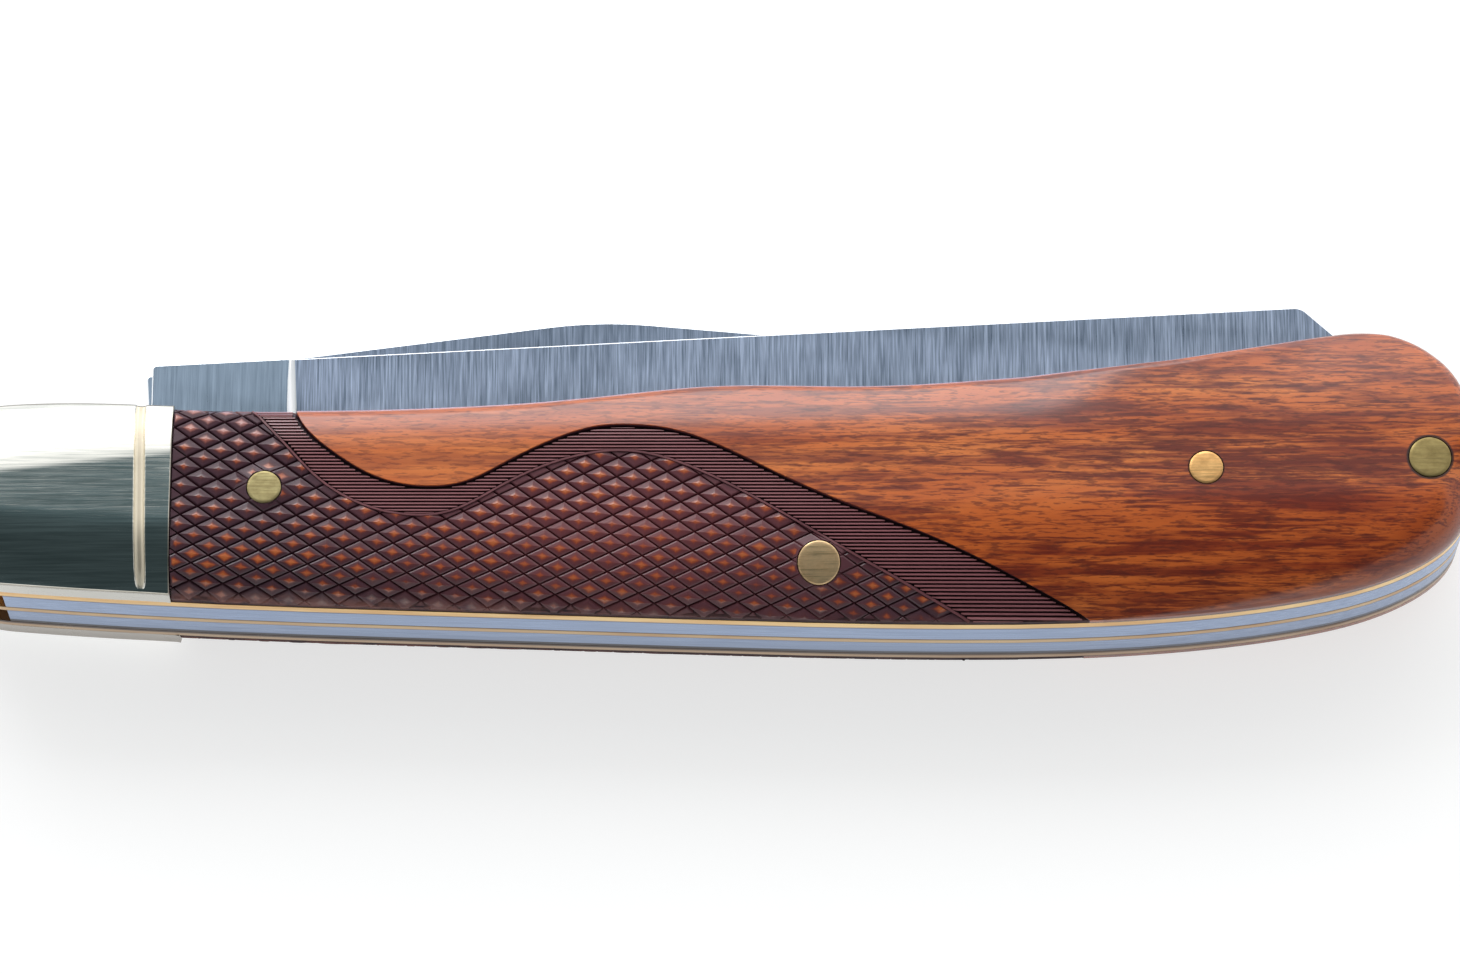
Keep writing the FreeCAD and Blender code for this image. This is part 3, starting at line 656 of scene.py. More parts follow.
bolster_silver, tree, shader = new_finish("bolster_silver")
buffed = streaks(tree, (0.16, 5.0, 2.0), 4.0, math.radians(3.0))
hairlines = streaks(tree, (0.22, 11.0, 3.0), 2.0, math.radians(-1.0))
handled = streaks(tree, (0.2, 0.3, 0.3), 3.0)
filed, wall = attribute(tree, "sunk_share"), attribute(tree, "wall_share")
silver = blended(tree, spread(tree, buffed, 0.32, 0.66, 0.0, 1.0), SILVER_DARK, SILVER_BRIGHT)
silver = blended(tree, spread(tree, filed, 0.05, 0.5, 0.0, 1.0), silver, GROOVE_SILVER)
silver = blended(tree, spread(tree, filed, 0.88, 0.98, 0.0, 0.55), silver, GROOVE_DIRT)
wall_silver_shaded = blended(tree, ramped(tree, "Z", WALL_SHADE_SPAN, 0.0, 1.0), WALL_SHADED_LOW, WALL_HIGH)
silver = blended(tree, wall, silver, wall_silver_shaded)
silver = blended(tree, times(tree, attribute(tree, "dull_share"), 0.75), silver, EDGE_DIRT)
roughness = plus(tree, spread(tree, handled, 0.3, 0.7, 0.05, 0.10),
                 spread(tree, hairlines, 0.60, 0.72, 0.0, 0.10), times(tree, wall, 0.2),
                 spread(tree, filed, 0.1, 0.6, 0.0, 0.52))
metal(tree, shader, silver, roughness, raised(tree, buffed, 0.008 * MM, 0.22))
for side in ("upper", "lower"):
    polished = made("_bolster_polished", side, points, faces, normals, {
        "sunk_share": sunk_share, "dull_share": dull_share, "wall_share": wall_share})
    put(polished, "handle", "bolster_nickel_silver", bolster_silver, side + "_bolster")

# Scales
# Two slabs of oiled hardwood, ground to the crown and rounded at the rim, with four pins
# through each. A flowing border of fine ridges and a field of diamond checkering are cut
# into the half next to the bolster.
RIM_LEVEL = 10.75
ROLL_SHARE = 1.05
RIM_SKIN = 0.03
STEEPEST_LEAN = 0.995
# The front of the crown flattens towards the tail and falls again at its end: start, run, share.
TAIL_FLAT = (64.0, 10.0, 0.5)
TAIL_FALL = (76.0, 9.0, 0.2)
# The rounded back takes over from the crisp front across a stretch of y.
TURN_START = 2.0
TURN_RUN = 5.0
# Front corner of the wood: place along the handle, drop and reach of its rounding.
FRONT_EASE = (
    (32.0, 1.5, 0.9), (43.0, 1.0, 0.6), (56.0, 1.0, 0.6), (65.0, 1.4, 0.8), (73.0, 0.4, 0.5),
    (78.0, 0.5, 0.5), (86.0, 1.3, 0.8), (90.0, 0.7, 0.6), (93.0, 1.4, 0.9),
)
CARVED_DEPTH = 0.42
CARVED_FLOOR = 0.015
WALL_RUN = 0.07
WALL_MIDDLE_SHARE = 0.6
RIM_FADE = 0.3
RIM_SHARE = 0.12
PIN_FADE = 0.35
PIN_GAP = 0.07
# The checkering is ruled on a template that is bent over the back of the crown.
VIEW_SLOPE = math.tan(math.radians(20))
TEMPLATE_SPAN = (-14.0, 10.0)
TEMPLATE_ROUNDS = 18
DIAMOND_RISE = (1.182, 0.585)
DIAMOND_FALL = (1.06, -0.802)
DIAMOND_MIDDLE = (37.03, -1.67)
DIAMOND_HEIGHTS = {"Wall": 0.16, "Edge": 0.20, "Flank": 0.245, "Top": 0.28}
DIAMOND_SHARES = {"Wall": 0.88, "Edge": 0.75, "Flank": 0.46, "Top": 0.13}
WHOLE_SHARE = 0.6
LATTICE_REACH = 60
BORDER_TOLERANCE = 0.004
HOLE_WIDENING = 1.01
RIDGE_PITCH = 0.243
RIDGE_WIDTH = 0.215
RIDGE_HEIGHT = 0.22
RIDGE_TOP_SHARE = 0.42
RIDGE_GAP = 0.13
RIDGE_STEP = 0.2
RIDGE_LEAST = 0.04
RIDGE_ROWS = (-48, 21)
RIDGE_CEILING = 9.0
BEAD_WIDTH = 0.24
BEAD_HEIGHT = 0.31
BEAD_PROFILE = ((-0.5, 0.0), (-0.28, 1.0), (0.28, 1.0), (0.5, 0.0))
BEAD_RELIEF_SHARE = 0.7
EDGE_WEAR = 0.5
FOOT_TOLERANCE = 0.01
# Kinds of surface that the finish of the wood tells apart; plain wood is 0.
DIAMOND_KIND = 1.0
RIDGE_KIND = 2.0
# Planar divisions give triangles, or the faces that their lines enclose.
IN_TRIANGLES = 0
IN_WHOLE_FACES = 3
DIVISION_TOLERANCE = 1e-6
WAVE_SPACING = 0.3
OUTER_WAVE = [
    (15.0, 4.6), (15.3, 3.6), (17.91, 0.72), (21.21, -1.16), (24.01, -1.67), (26.59, -1.38),
    (29.5, 0.06), (33.15, 1.89), (35.8, 2.71), (37.98, 2.82), (40.78, 2.48), (44.05, 1.3),
    (48.4, -0.91), (52.67, -2.87), (56.33, -4.33), (60.39, -6.05), (63.16, -7.4),
    (65.81, -8.7), (69.09, -10.4), (71.0, -11.5),
]
INNER_WAVE = [
    (11.6, 4.9), (12.35, 3.85), (14.21, 1.68), (16.86, -1.16), (20.78, -3.33), (23.37, -3.76),
    (25.53, -3.55), (28.9, -1.85), (31.67, -0.4), (34.52, 0.55), (37.51, 0.9), (39.69, 0.58),
    (42.28, -0.33), (46.23, -2.35), (49.95, -4.55), (52.05, -5.78), (54.08, -6.93),
    (56.18, -8.05), (57.74, -8.9), (59.79, -9.98), (62.6, -11.5),
]
# Points of the top: rows along the rim, a grid inside them and rings round the pins, all kept
# clear of the lines that divide it.
RIM_INSETS = (0.04, 0.1, 0.2, 0.36, 0.56, 0.8, 1.1, 1.45, 1.85, 2.3, 2.7)
GRID_INSET = 2.9
GRID_START = 0.4
GRID_END = 96.0
GRID_HALF = 11.0
GRID_STEPS = (0.75, 0.42)
PIN_POINTS = 40
PIN_STEPS = (0.13, 0.26, 0.4)
JOINT_POINTS = 26
JOINT_CLEARANCE = 0.15
CORNER_CLEARANCE = 0.2
LINE_CLEARANCE = 0.16
HOLE_CLEARANCE = 0.12
HOLE_DEPTH = 0.5
SCALE_PINS = {
    "scale_pin_front": 1.15, "centre_pin": 1.425, "scale_pin_rear": 1.15, "tail_pin": 1.425,
}
pin_places = {}
for pin in SCALE_PINS:
    low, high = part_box("upper_" + pin if pin.startswith("scale") else pin)
    pin_places[pin] = np.array((low + high)[:2]) / 2 / MM


def scale_top(x, y):
    """Height of the finished scale: the crown, rolled off at the back and eased at the front."""
    away = rim_distance(x, y)
    (flat_start, flat_run, flat), (fall_start, fall_run, fallen) = TAIL_FLAT, TAIL_FALL
    flat_share = (flat * gentle((x - flat_start) / flat_run)
                  - fallen * gentle((x - fall_start) / fall_run))
    top_line = (x * math.sin(CROWN_TILT) + LAND_HALF) / math.cos(CROWN_TILT) - CROWN_OFFSET
    flattened = np.where(y > top_line, y - (y - top_line) * flat_share, y)
    crowned = crown(x, flattened)
    rise = crowned - RIM_LEVEL
    lean = np.clip(1 - away / (ROLL_SHARE * rise), 0.0, STEEPEST_LEAN)
    rolled = crowned - rise * (1 - np.sqrt(1 - lean ** 2)) / (1 - math.sqrt(1 - STEEPEST_LEAN ** 2))
    places, drops, roundings = zip(*FRONT_EASE)
    lean = np.clip(1 - away / np.interp(x, places, roundings), 0.0, STEEPEST_LEAN)
    crisp = crowned - np.interp(x, places, drops) * (1 - np.sqrt(1 - lean ** 2))
    return crisp + (rolled - crisp) * gentle((TURN_START - y) / TURN_RUN)


def scale_normals(x, y):
    """Unit normals of the finished scale; at the very rim those just inside it."""
    step = 0.01
    inward = np.stack([rim_distance(x + step, y) - rim_distance(x - step, y),
                       rim_distance(x, y + step) - rim_distance(x, y - step)], axis=1) / (2 * step)
    inward *= np.maximum(RIM_SKIN - rim_distance(x, y), 0)[:, None]
    return slopes(scale_top, x + inward[:, 0], y + inward[:, 1])


def cut_share(x, y):
    """Depth of the carving as a share, less at the rim and round the pins."""
    share = np.clip(rim_distance(x, y) / RIM_FADE, 0, 1)
    for pin, radius in SCALE_PINS.items():
        away = np.hypot(x - pin_places[pin][0], y - pin_places[pin][1]) - radius - PIN_GAP
        share = np.minimum(share, np.clip(away / PIN_FADE, 0, 1))
    return RIM_SHARE + (1 - RIM_SHARE) * gentle(share)


def template_of(x, y):
    """Place on the ruling template of the checkering, bent over the back of the crown."""
    top = np.where(y > -CROWN_OFFSET, crown(x, y), scale_top(x, y))
    return np.column_stack([x, y - (TOTAL - top) * VIEW_SLOPE])


def untemplated(x, ruled):
    """Plan place of points that are ruled on the template."""
    low, high = (np.full(len(x), end) for end in TEMPLATE_SPAN)
    for _ in range(TEMPLATE_ROUNDS):
        middle = (low + high) / 2
        beyond = template_of(x, middle)[:, 1] > ruled
        low, high = np.where(beyond, low, middle), np.where(beyond, middle, high)
    return (low + high) / 2


def shifted(line, aside):
    """Line moved sideways to its left."""
    along = np.gradient(line, axis=0)
    left = np.stack([-along[:, 1], along[:, 0]], axis=1)
    return line + aside * left / np.linalg.norm(left, axis=1)[:, None]


def within(polygon, x, y):
    """Whether points lie in a polygon."""
    inside = np.zeros(len(x), bool)
    for (x0, y0), (x1, y1) in zip(polygon, np.roll(polygon, -1, axis=0)):
        crossing = (y0 > y) != (y1 > y)
        with np.errstate(divide="ignore", invalid="ignore"):
            inside ^= crossing & (x < (x1 - x0) * (y - y0) / (y1 - y0) + x0)
    return inside


def below(line, x, y):
    """Whether points lie on the carved side of a wave."""
    far = 40.0
    corners = [(0.0, far), (0.0, -far), (line[-1, 0], -far)]
    return within(np.concatenate([corners, line[::-1], [(line[0, 0], far)]]), x, y)


def divided(lines, spots, kind):
    """Planar division of a kind by polylines and free points; each line is (points, closed)."""
    coordinates, links = [], []
    for line, closed in lines:
        first = len(coordinates)
        coordinates += [Vector(point) for point in line]
        links += [(first + step, first + step + 1) for step in range(len(line) - 1)]
        if closed:
            links.append((len(coordinates) - 1, first))
    coordinates += [Vector(point) for point in spots]
    spots_out, _, faces_out, *_ = delaunay_2d_cdt(
        coordinates, links, [], kind, DIVISION_TOLERANCE)
    return np.array([tuple(point) for point in spots_out]), [list(face) for face in faces_out]


def zone(tree, middle, reach):
    """Soft oval patch on the plan of the handle, 1 at its middle and 0 outside."""
    moved = add(tree, "ShaderNodeMapping", {
        "Vector": add(tree, "ShaderNodeTexCoord").outputs["Object"],
        "Location": (-middle[0] / reach[0], -middle[1] / reach[1], 0.0),
        "Scale": (1 / (reach[0] * MM), 1 / (reach[1] * MM), 0.0),
    })
    return add(tree, "ShaderNodeTexGradient", {"Vector": moved.outputs["Vector"]},
               gradient_type="SPHERICAL").outputs["Fac"]


def tones(tree, source, stops):
    """Colour ramp with (place, colour) stops."""
    ramp = add(tree, "ShaderNodeValToRGB", {"Fac": source})
    elements = ramp.color_ramp.elements
    while len(elements) < len(stops):
        elements.new(1.0)
    for element, (place, colour) in zip(elements, stops):
        element.position = place
        element.color = (*colour, 1.0)
    return ramp.outputs["Color"]


WOOD_TONES = (
    (0.30, (0.380, 0.062, 0.013)), (0.50, (0.590, 0.130, 0.024)), (0.70, (0.730, 0.210, 0.046)),
)
BAND_DARK = (0.185, 0.019, 0.008, 1)
FIBRE_DARK = (0.135, 0.015, 0.007, 1)
PORE_DARK = (0.090, 0.013, 0.007, 1)
# Painted shade on the rolled rim, darker where the wood turns steep.
ROLLED_SHADE = (0.150, 0.030, 0.016, 1)
JOINT_SHADE = (0.020, 0.008, 0.008, 1)
PIN_JOINT_SHADE = (0.020, 0.008, 0.006, 1)
RIPE_SPAN = (24.0, 60.0)
# The wood is darker where the slab dips into the heart and paler where it leaves it: middle
# and reach in plan, and strength.
HEART_ZONES = (
    ((82.0, -1.0), (11.0, 5.0), 0.15), ((68.0, 3.2), (12.0, 1.8), 0.09),
    ((76.0, -8.2), (14.0, 2.2), 0.03), ((74.0, 0.3), (7.0, 2.6), 0.10),
    ((63.5, -3.0), (9.0, 2.8), -0.09), ((88.0, 5.0), (10.0, 2.6), -0.03),
    ((91.5, -4.2), (6.0, 3.2), -0.11),
)
# Painted shade in the joint with the liner, by height above it, and less of it on the lower scale.
JOINT_SHADE_SPAN = (0.05, 0.4)
UPPER_SCALE_SPAN = (6.0, 7.0)
# Painted shadow in the gap round pins: radius and strength.
PIN_SHADE_RINGS = (("tail_pin", 1.66, 0.9), ("scale_pin_rear", 1.30, 0.45))
DIAMOND_TONES = (
    (0.0, (0.060, 0.019, 0.028)), (0.50, (0.048, 0.016, 0.025)), (0.64, (0.072, 0.031, 0.044)),
    (0.78, (0.076, 0.029, 0.039)), (0.86, (0.105, 0.029, 0.029)), (0.92, (0.32, 0.062, 0.022)),
    (1.0, (0.50, 0.130, 0.036)),
)
RIDGE_TONES = (
    (0.0, (0.022, 0.006, 0.010)), (0.45, (0.050, 0.016, 0.022)), (0.95, (0.310, 0.118, 0.130)),
)
# Places of the checkering that hands have spared: middle, reach and how much less is worn off.
SPARED_ZONES = (
    ((9.5, -1.0), (9.0, 5.0), 0.09), ((25.0, -9.0), (14.0, 2.2), 0.05),
    ((48.0, -9.0), (12.0, 2.0), 0.05),
)
# The middle of the field is rubbed to a warmer red, and the tops at its front corner carry a
# painted pale sheen.
WARM_ZONE = ((38.0, -5.0), (24.0, 9.0))
WARM_RED = (0.32, 0.075, 0.075, 1)
SHEEN_ZONE = ((12.0, 5.5), (9.0, 5.5))
PAINTED_SHEEN = (0.40, 0.19, 0.19, 1)
EDGE_WORN = (0.27, 0.105, 0.085, 1)
EDGE_WORN_SPAN = (22.0, 45.0)
WOOD_COAT = (0.75, 0.75, 0.75, 1)
# Polish by height: little in the grooves, more on the edges and the tops that hands reach.
CARVED_COATS = (
    (0.0, 0.06), (0.50, 0.10), (0.59, 0.60), (0.65, 0.60), (0.70, 0.22), (0.90, 0.30), (0.96, 0.85),
)

wood, tree, shader = new_finish("oiled_hardwood")
relief_value, kind_value, edge_value, steep_value = (
    attribute(tree, label) for label in ("relief", "kind", "edge", "steep"))
figure = streaks(tree, (0.028, 0.20, 0.20), 4.0, math.radians(1.0), 0.4)
bands = streaks(tree, (0.055, 0.95, 0.95), 4.0, math.radians(-1.5), 0.6)
fibres = streaks(tree, (0.25, 3.5, 3.5), 5.0, math.radians(1.0), 0.6)
drift = streaks(tree, (0.15, 0.45, 0.45), 3.0, math.radians(-4.0), 0.8)
dashes = streaks(tree, (1.0, 5.8, 5.8), 2.0, math.radians(3.0))
clouds = spread(tree, drift, 0.3, 0.7, -0.09, 0.09)
bands = plus(tree, bands, clouds)
fibres = plus(tree, fibres, times(tree, clouds, 0.5))
for middle, reach, strength in HEART_ZONES:
    dipped = times(tree, zone(tree, middle, reach), strength)
    bands = plus(tree, bands, dipped)
    fibres = plus(tree, fibres, times(tree, dipped, 0.6))
ripe = ramped(tree, "X", RIPE_SPAN, 0.40, 1.0)
on_flat = spread(tree, steep_value, 0.2, 0.55, 1.0, 0.25)
dark_band = times(tree, spread(tree, bands, 0.48, 0.62, 0.0, 0.80), ripe)
dark_fibre = times(tree, spread(tree, fibres, 0.48, 0.60, 0.0, 0.85), times(tree, ripe, on_flat))
pore = spread(tree, dashes, 0.53, 0.62, 0.0, 1.0)
dark_pore = times(tree, pore, times(tree, on_flat, ramped(tree, "X", RIPE_SPAN, 0.45, 0.6)))
cover_level = COVER_BASE - TOTAL / 2
level = math_node(tree, "SUBTRACT", place_of(tree)["Z"], TOTAL / 2 * MM)
level = math_node(tree, "ABSOLUTE", level)
joint_shade = spread(tree, level, *((cover_level + end) * MM for end in JOINT_SHADE_SPAN), 0.9, 0.0)
joint_shade = times(tree, joint_shade, ramped(tree, "Z", UPPER_SCALE_SPAN, 0.1, 1.0))
colour = tones(tree, figure, WOOD_TONES)
for share, darker in (
        (dark_band, BAND_DARK), (dark_fibre, FIBRE_DARK), (dark_pore, PORE_DARK),
        (spread(tree, steep_value, 0.25, 0.65, 0.0, 0.55), ROLLED_SHADE), (joint_shade, JOINT_SHADE)):
    colour = blended(tree, share, colour, darker)
for pin, radius, strength in PIN_SHADE_RINGS:
    ring = spread(tree, zone(tree, pin_places[pin], (radius, radius)), 0.0, 0.05, 0.0, strength)
    colour = blended(tree, ring, colour, PIN_JOINT_SHADE)

mottle = streaks(tree, (0.55, 0.8, 0.8), 3.0)
rubbed = streaks(tree, (0.06, 0.16, 0.16), 2.0)
worn_height = plus(tree, relief_value, spread(tree, mottle, 0.32, 0.68, -0.075, 0.035),
                   spread(tree, rubbed, 0.35, 0.65, -0.035, 0.020), times(tree, edge_value, -0.12))
for middle, reach, strength in SPARED_ZONES:
    worn_height = plus(tree, worn_height, times(tree, zone(tree, middle, reach), -strength))
diamond_colour = tones(tree, worn_height, DIAMOND_TONES)
warm = times(tree, zone(tree, *WARM_ZONE), spread(tree, worn_height, 0.86, 0.93, 0.8, 0.2))
diamond_colour = blended(tree, warm, diamond_colour, blended(tree, 0.5, diamond_colour, WARM_RED))
# Painted sheen: pale tops at the front corner of the field.
sheen_share = times(tree, zone(tree, *SHEEN_ZONE), spread(tree, worn_height, 0.82, 0.92, 0.0, 1.3))
diamond_colour = blended(tree, sheen_share, diamond_colour, PAINTED_SHEEN)
carved_colour = blended(tree, spread(tree, kind_value, 1.4, 1.6, 0.0, 1.0), diamond_colour,
                        tones(tree, worn_height, RIDGE_TONES))
edge_wear = times(tree, edge_value, spread(tree, mottle, 0.38, 0.55, 0.0, 0.85))
edge_wear = times(tree, edge_wear, ramped(tree, "X", EDGE_WORN_SPAN, 1.0, 0.25))
carved_colour = blended(tree, edge_wear, carved_colour, EDGE_WORN)
colour = blended(tree, spread(tree, kind_value, 0.4, 0.6, 0.0, 1.0), colour, carved_colour)
roughness = plus(tree, spread(tree, fibres, 0.3, 0.7, 0.38, 0.50), times(tree, pore, 0.15),
                 spread(tree, kind_value, 0.3, 0.7, 0.0, 0.18))
carved_coat = tones(tree, relief_value, [(place, (coat,) * 3) for place, coat in CARVED_COATS])
coat = blended(tree, spread(tree, kind_value, 0.3, 0.7, 0.0, 1.0), WOOD_COAT, carved_coat)
grain = math_node(tree, "SUBTRACT", fibres, pore)
fed(tree, shader, Base_Color=colour, Roughness=roughness, Coat_Weight=coat,
    Normal=raised(tree, grain, 0.02 * MM, 0.14))
shader.inputs["Specular IOR Level"].default_value = 0.17
shader.inputs["Coat Roughness"].default_value = 0.20
shader.inputs["Coat IOR"].default_value = 1.62

# Body of the scale: the crowned top, sunk inside the outer wave, with its walls and pin holes.
outer = flowing(OUTER_WAVE, WAVE_SPACING)
inner = flowing(INNER_WAVE, WAVE_SPACING)
outer_foot = shifted(outer, -WALL_RUN)
joint_ends = [np.interp(JOINT, line[:, 0], line[:, 1]) for line in (front_edge, back_edge)]
kept_rim = rim[rim[:, 0] > JOINT + CORNER_CLEARANCE]
breaks = np.linalg.norm(kept_rim - np.roll(kept_rim, 1, axis=0), axis=1)
kept_rim = np.roll(kept_rim, -int(np.argmax(breaks)), axis=0)
border = np.concatenate([kept_rim, np.stack([
    np.full(JOINT_POINTS, JOINT), np.linspace(*joint_ends, JOINT_POINTS)], axis=1)])

grid = np.stack(np.meshgrid(np.arange(JOINT + GRID_START, GRID_END, GRID_STEPS[0]),
                            np.arange(-GRID_HALF, GRID_HALF, GRID_STEPS[1])), axis=2).reshape(-1, 2)
around = np.linspace(0, 2 * math.pi, PIN_POINTS + 1)[:-1]
circle = np.stack([np.cos(around), np.sin(around)], axis=1)
spots = [rim - outward(rim) * inset for inset in RIM_INSETS]
spots.append(grid[rim_distance(*grid.T) > GRID_INSET])
for pin, radius in SCALE_PINS.items():
    spots += [pin_places[pin] + (radius + PIN_GAP + away) * circle for away in PIN_STEPS]
spots = np.concatenate(spots)
spots = spots[within(border, *spots.T) & (spots[:, 0] > JOINT + JOINT_CLEARANCE)]
for line in (outer, outer_foot):
    apart = np.sqrt(((spots[:, None, :] - line[None]) ** 2).sum(2)).min(1)
    spots = spots[apart > LINE_CLEARANCE]
rings = []
for pin, radius in SCALE_PINS.items():
    rings.append(pin_places[pin] + (radius + PIN_GAP) * circle)
    apart = np.linalg.norm(spots - pin_places[pin], axis=1)
    spots = spots[apart > radius + PIN_GAP + HOLE_CLEARANCE]
plan, plan_faces = divided(
    [(border, True), (outer, False), (outer_foot, False)] + [(ring, True) for ring in rings],
    spots, IN_TRIANGLES)
middles = np.array([plan[face].mean(0) for face in plan_faces])
keep = within(border, *middles.T)
for ring in rings:
    keep &= ~within(ring, *middles.T)
plan_faces = [face for face, stays in zip(plan_faces, keep) if stays]
sunken = below(shifted(outer, -WALL_RUN * WALL_MIDDLE_SHARE), *plan.T)
smooth_up = scale_normals(*plan.T)
depth = CARVED_DEPTH * cut_share(*plan.T) * sunken
points = list(np.column_stack([plan, scale_top(*plan.T)]) - smooth_up * depth[:, None])
faces, normals = [], []
relief = list(np.where(sunken, 0.0, 1.0))
kind = list(RIDGE_KIND * sunken)


def level_of(corners):
    """Unit normal of a flat face of the scale."""
    spots = np.array([points[corner] for corner in corners])
    turned = np.cross(spots[1:-1] - spots[0], spots[2:] - spots[0]).sum(0)
    return turned / max(np.linalg.norm(turned), 1e-12)


for face in plan_faces:
    ahead, aside = plan[face[1]] - plan[face[0]], plan[face[2]] - plan[face[0]]
    if ahead[0] * aside[1] < ahead[1] * aside[0]:
        face = face[::-1]
    faces.append(face)
    on_wall = len({bool(sunken[corner]) for corner in face}) > 1
    normals.append([level_of(face)] * 3 if on_wall else [smooth_up[corner] for corner in face])


def skirt(loop, foot):
    """Wall from an open edge of the top down to a level, closed by a flat face."""
    top = np.array([points[number] for number in loop])
    out = np.column_stack([outward(top[:, :2]), np.zeros(len(loop))])
    lower = [len(points) + step for step in range(len(loop))]
    points.extend(np.column_stack([top[:, :2], np.broadcast_to(foot, len(loop))]))
    relief.extend([relief[number] for number in loop])
    kind.extend([kind[number] for number in loop])
    for here in range(len(loop)):
        there = (here + 1) % len(loop)
        faces.append([loop[here], lower[here], lower[there], loop[there]])
        normals.append([out[here], out[here], out[there], out[there]])
    faces.append(lower[::-1])
    normals.append([level_of(lower[::-1])] * len(loop))


loops = sorted(open_loops(faces), key=len)
for ring in loops[:-1]:
    skirt(ring, np.array([points[number][2] for number in ring]) - HOLE_DEPTH)
skirt(loops[-1], COVER_BASE)


def tree_of(name, inputs):
    """Empty geometry tree with a geometry socket each way and named number inputs."""
    group = bpy.data.node_groups.new(name, "GeometryNodeTree")
    group.interface.new_socket("Geometry", in_out="INPUT", socket_type="NodeSocketGeometry")
    for label in inputs:
        group.interface.new_socket(label, in_out="INPUT", socket_type="NodeSocketFloat")
    group.interface.new_socket("Finish", in_out="INPUT", socket_type="NodeSocketMaterial")
    group.interface.new_socket("Geometry", in_out="OUTPUT", socket_type="NodeSocketGeometry")
    return group, group.nodes.new("NodeGroupInput").outputs, group.nodes.new("NodeGroupOutput")


def lifted(group, shape_socket, height, share, chosen):
    """Raise the chosen faces one by one and narrow their tops; returns the shape and the tops."""
    up = add(group, "GeometryNodeExtrudeMesh", {
        "Mesh": shape_socket, "Selection": chosen, "Offset Scale": height, "Individual": True})
    narrowed = add(group, "GeometryNodeScaleElements", {
        "Geometry": up.outputs["Mesh"], "Selection": up.outputs["Top"], "Scale": share})
    return narrowed.outputs[0], up.outputs["Top"]


def closed_tree(group, given, output, shape_socket):
    """End of each geometry tree: realised and with its material."""
    whole = add(group, "GeometryNodeRealizeInstances", {"Geometry": shape_socket})
    coloured = add(group, "GeometryNodeSetMaterial", {
        "Geometry": whole.outputs[0], "Material": given["Finish"]})
    group.links.new(coloured.outputs[0], output.inputs[0])


def grown(mesh, group, values, finish):
    """Plain mesh that a geometry tree makes from a mesh."""
    holder = in_scene("holder", mesh)
    grower = holder.modifiers.new("grower", "NODES")
    grower.node_group = group
    for item in group.interface.items_tree:
        if item.in_out == "INPUT" and item.name in values:
            grower[item.identifier] = values[item.name]
        if item.in_out == "INPUT" and item.name == "Finish":
            grower[item.identifier] = finish
    plain = plain_mesh(holder)
    holder.modifiers.remove(grower)
    bpy.data.objects.remove(holder)
    return plain


def laid(spots, patches, full, surface_kind):
    """Lay a carved pattern made flat onto the sunk floor of the scale."""
    first = len(points)
    flat = spots[:, :2].T
    depth = (CARVED_DEPTH - CARVED_FLOOR - spots[:, 2]) * cut_share(*flat)
    surface = np.column_stack([*flat, scale_top(*flat)])
    points.extend(surface - scale_normals(*flat) * depth[:, None])
    relief.extend(np.clip(spots[:, 2] / full, 0, 1))
    kind.extend([surface_kind] * len(spots))
    for patch in patches:
        corners = [first + number for number in patch]
        faces.append(corners)
        normals.append([level_of(corners)] * len(corners))


def spots_of(mesh):
    """Points of a mesh as an array."""
    return np.array([vertex.co for vertex in mesh.vertices])


def patches_of(mesh):
    """Faces of a mesh as lists of corners."""
    return [list(face.vertices) for face in mesh.polygons]


# Checkering: every cell of the diamond lattice is raised in steps, groove wall, edge and pyramid.
# Cells that the edge of the field cuts keep a flat top.
checkering, given, output = tree_of("checkering", [
    step + part for step in DIAMOND_HEIGHTS for part in (" height", " share")])
whole = add(checkering, "GeometryNodeInputNamedAttribute", {"Name": "whole"}, data_type="BOOLEAN")
shaped, chosen = given["Geometry"], True
for step in DIAMOND_HEIGHTS:
    if step in ("Flank", "Top"):
        chosen = add(checkering, "FunctionNodeBooleanMath", {
            0: chosen, 1: whole.outputs[0]}).outputs[0]
    shaped, chosen = lifted(
        checkering, shaped, given[step + " height"], given[step + " share"], chosen)
closed_tree(checkering, given, output, shaped)

rise, fall = np.array(DIAMOND_RISE), np.array(DIAMOND_FALL)
corner = np.array(DIAMOND_MIDDLE) + (rise + fall) / 2
ruled_border, ruled_inner = template_of(*border.T), template_of(*inner.T)
ruled_rings = [template_of(*ring.T) for ring in rings[:2]]
rulings = [(ruled_border, True), (ruled_inner, False)] + [(ring, True) for ring in ruled_rings]
for step in range(-LATTICE_REACH, LATTICE_REACH + 1):
    for across, ahead in ((fall, rise), (rise, fall)):
        start, reach = corner + step * across, LATTICE_REACH * ahead
        rulings.append(([start - reach, start + reach], False))
cells, cell_faces = divided(rulings, [], IN_WHOLE_FACES)
middles = np.array([cells[face].mean(0) for face in cell_faces])
in_field = within(ruled_border + BORDER_TOLERANCE * outward(ruled_border), *cells.T)
keep = below(ruled_inner, *middles.T) & np.array([in_field[face].all() for face in cell_faces])
for ring in ruled_rings:
    in_hole = within(ring.mean(0) + (ring - ring.mean(0)) * HOLE_WIDENING, *cells.T)
    keep &= ~np.array([in_hole[face].all() for face in cell_faces])
cell_mesh = bpy.data.meshes.new("cells")
cell_mesh.from_pydata([(x, y, 0.0) for x, y in cells], [],
                      [face for face, stays in zip(cell_faces, keep) if stays])
shape = bmesh.new()
shape.from_mesh(cell_mesh)
bmesh.ops.delete(shape, geom=[spot for spot in shape.verts if not spot.link_faces], context="VERTS")
bmesh.ops.reverse_faces(shape, faces=[face for face in shape.faces if face.normal.z < 0])
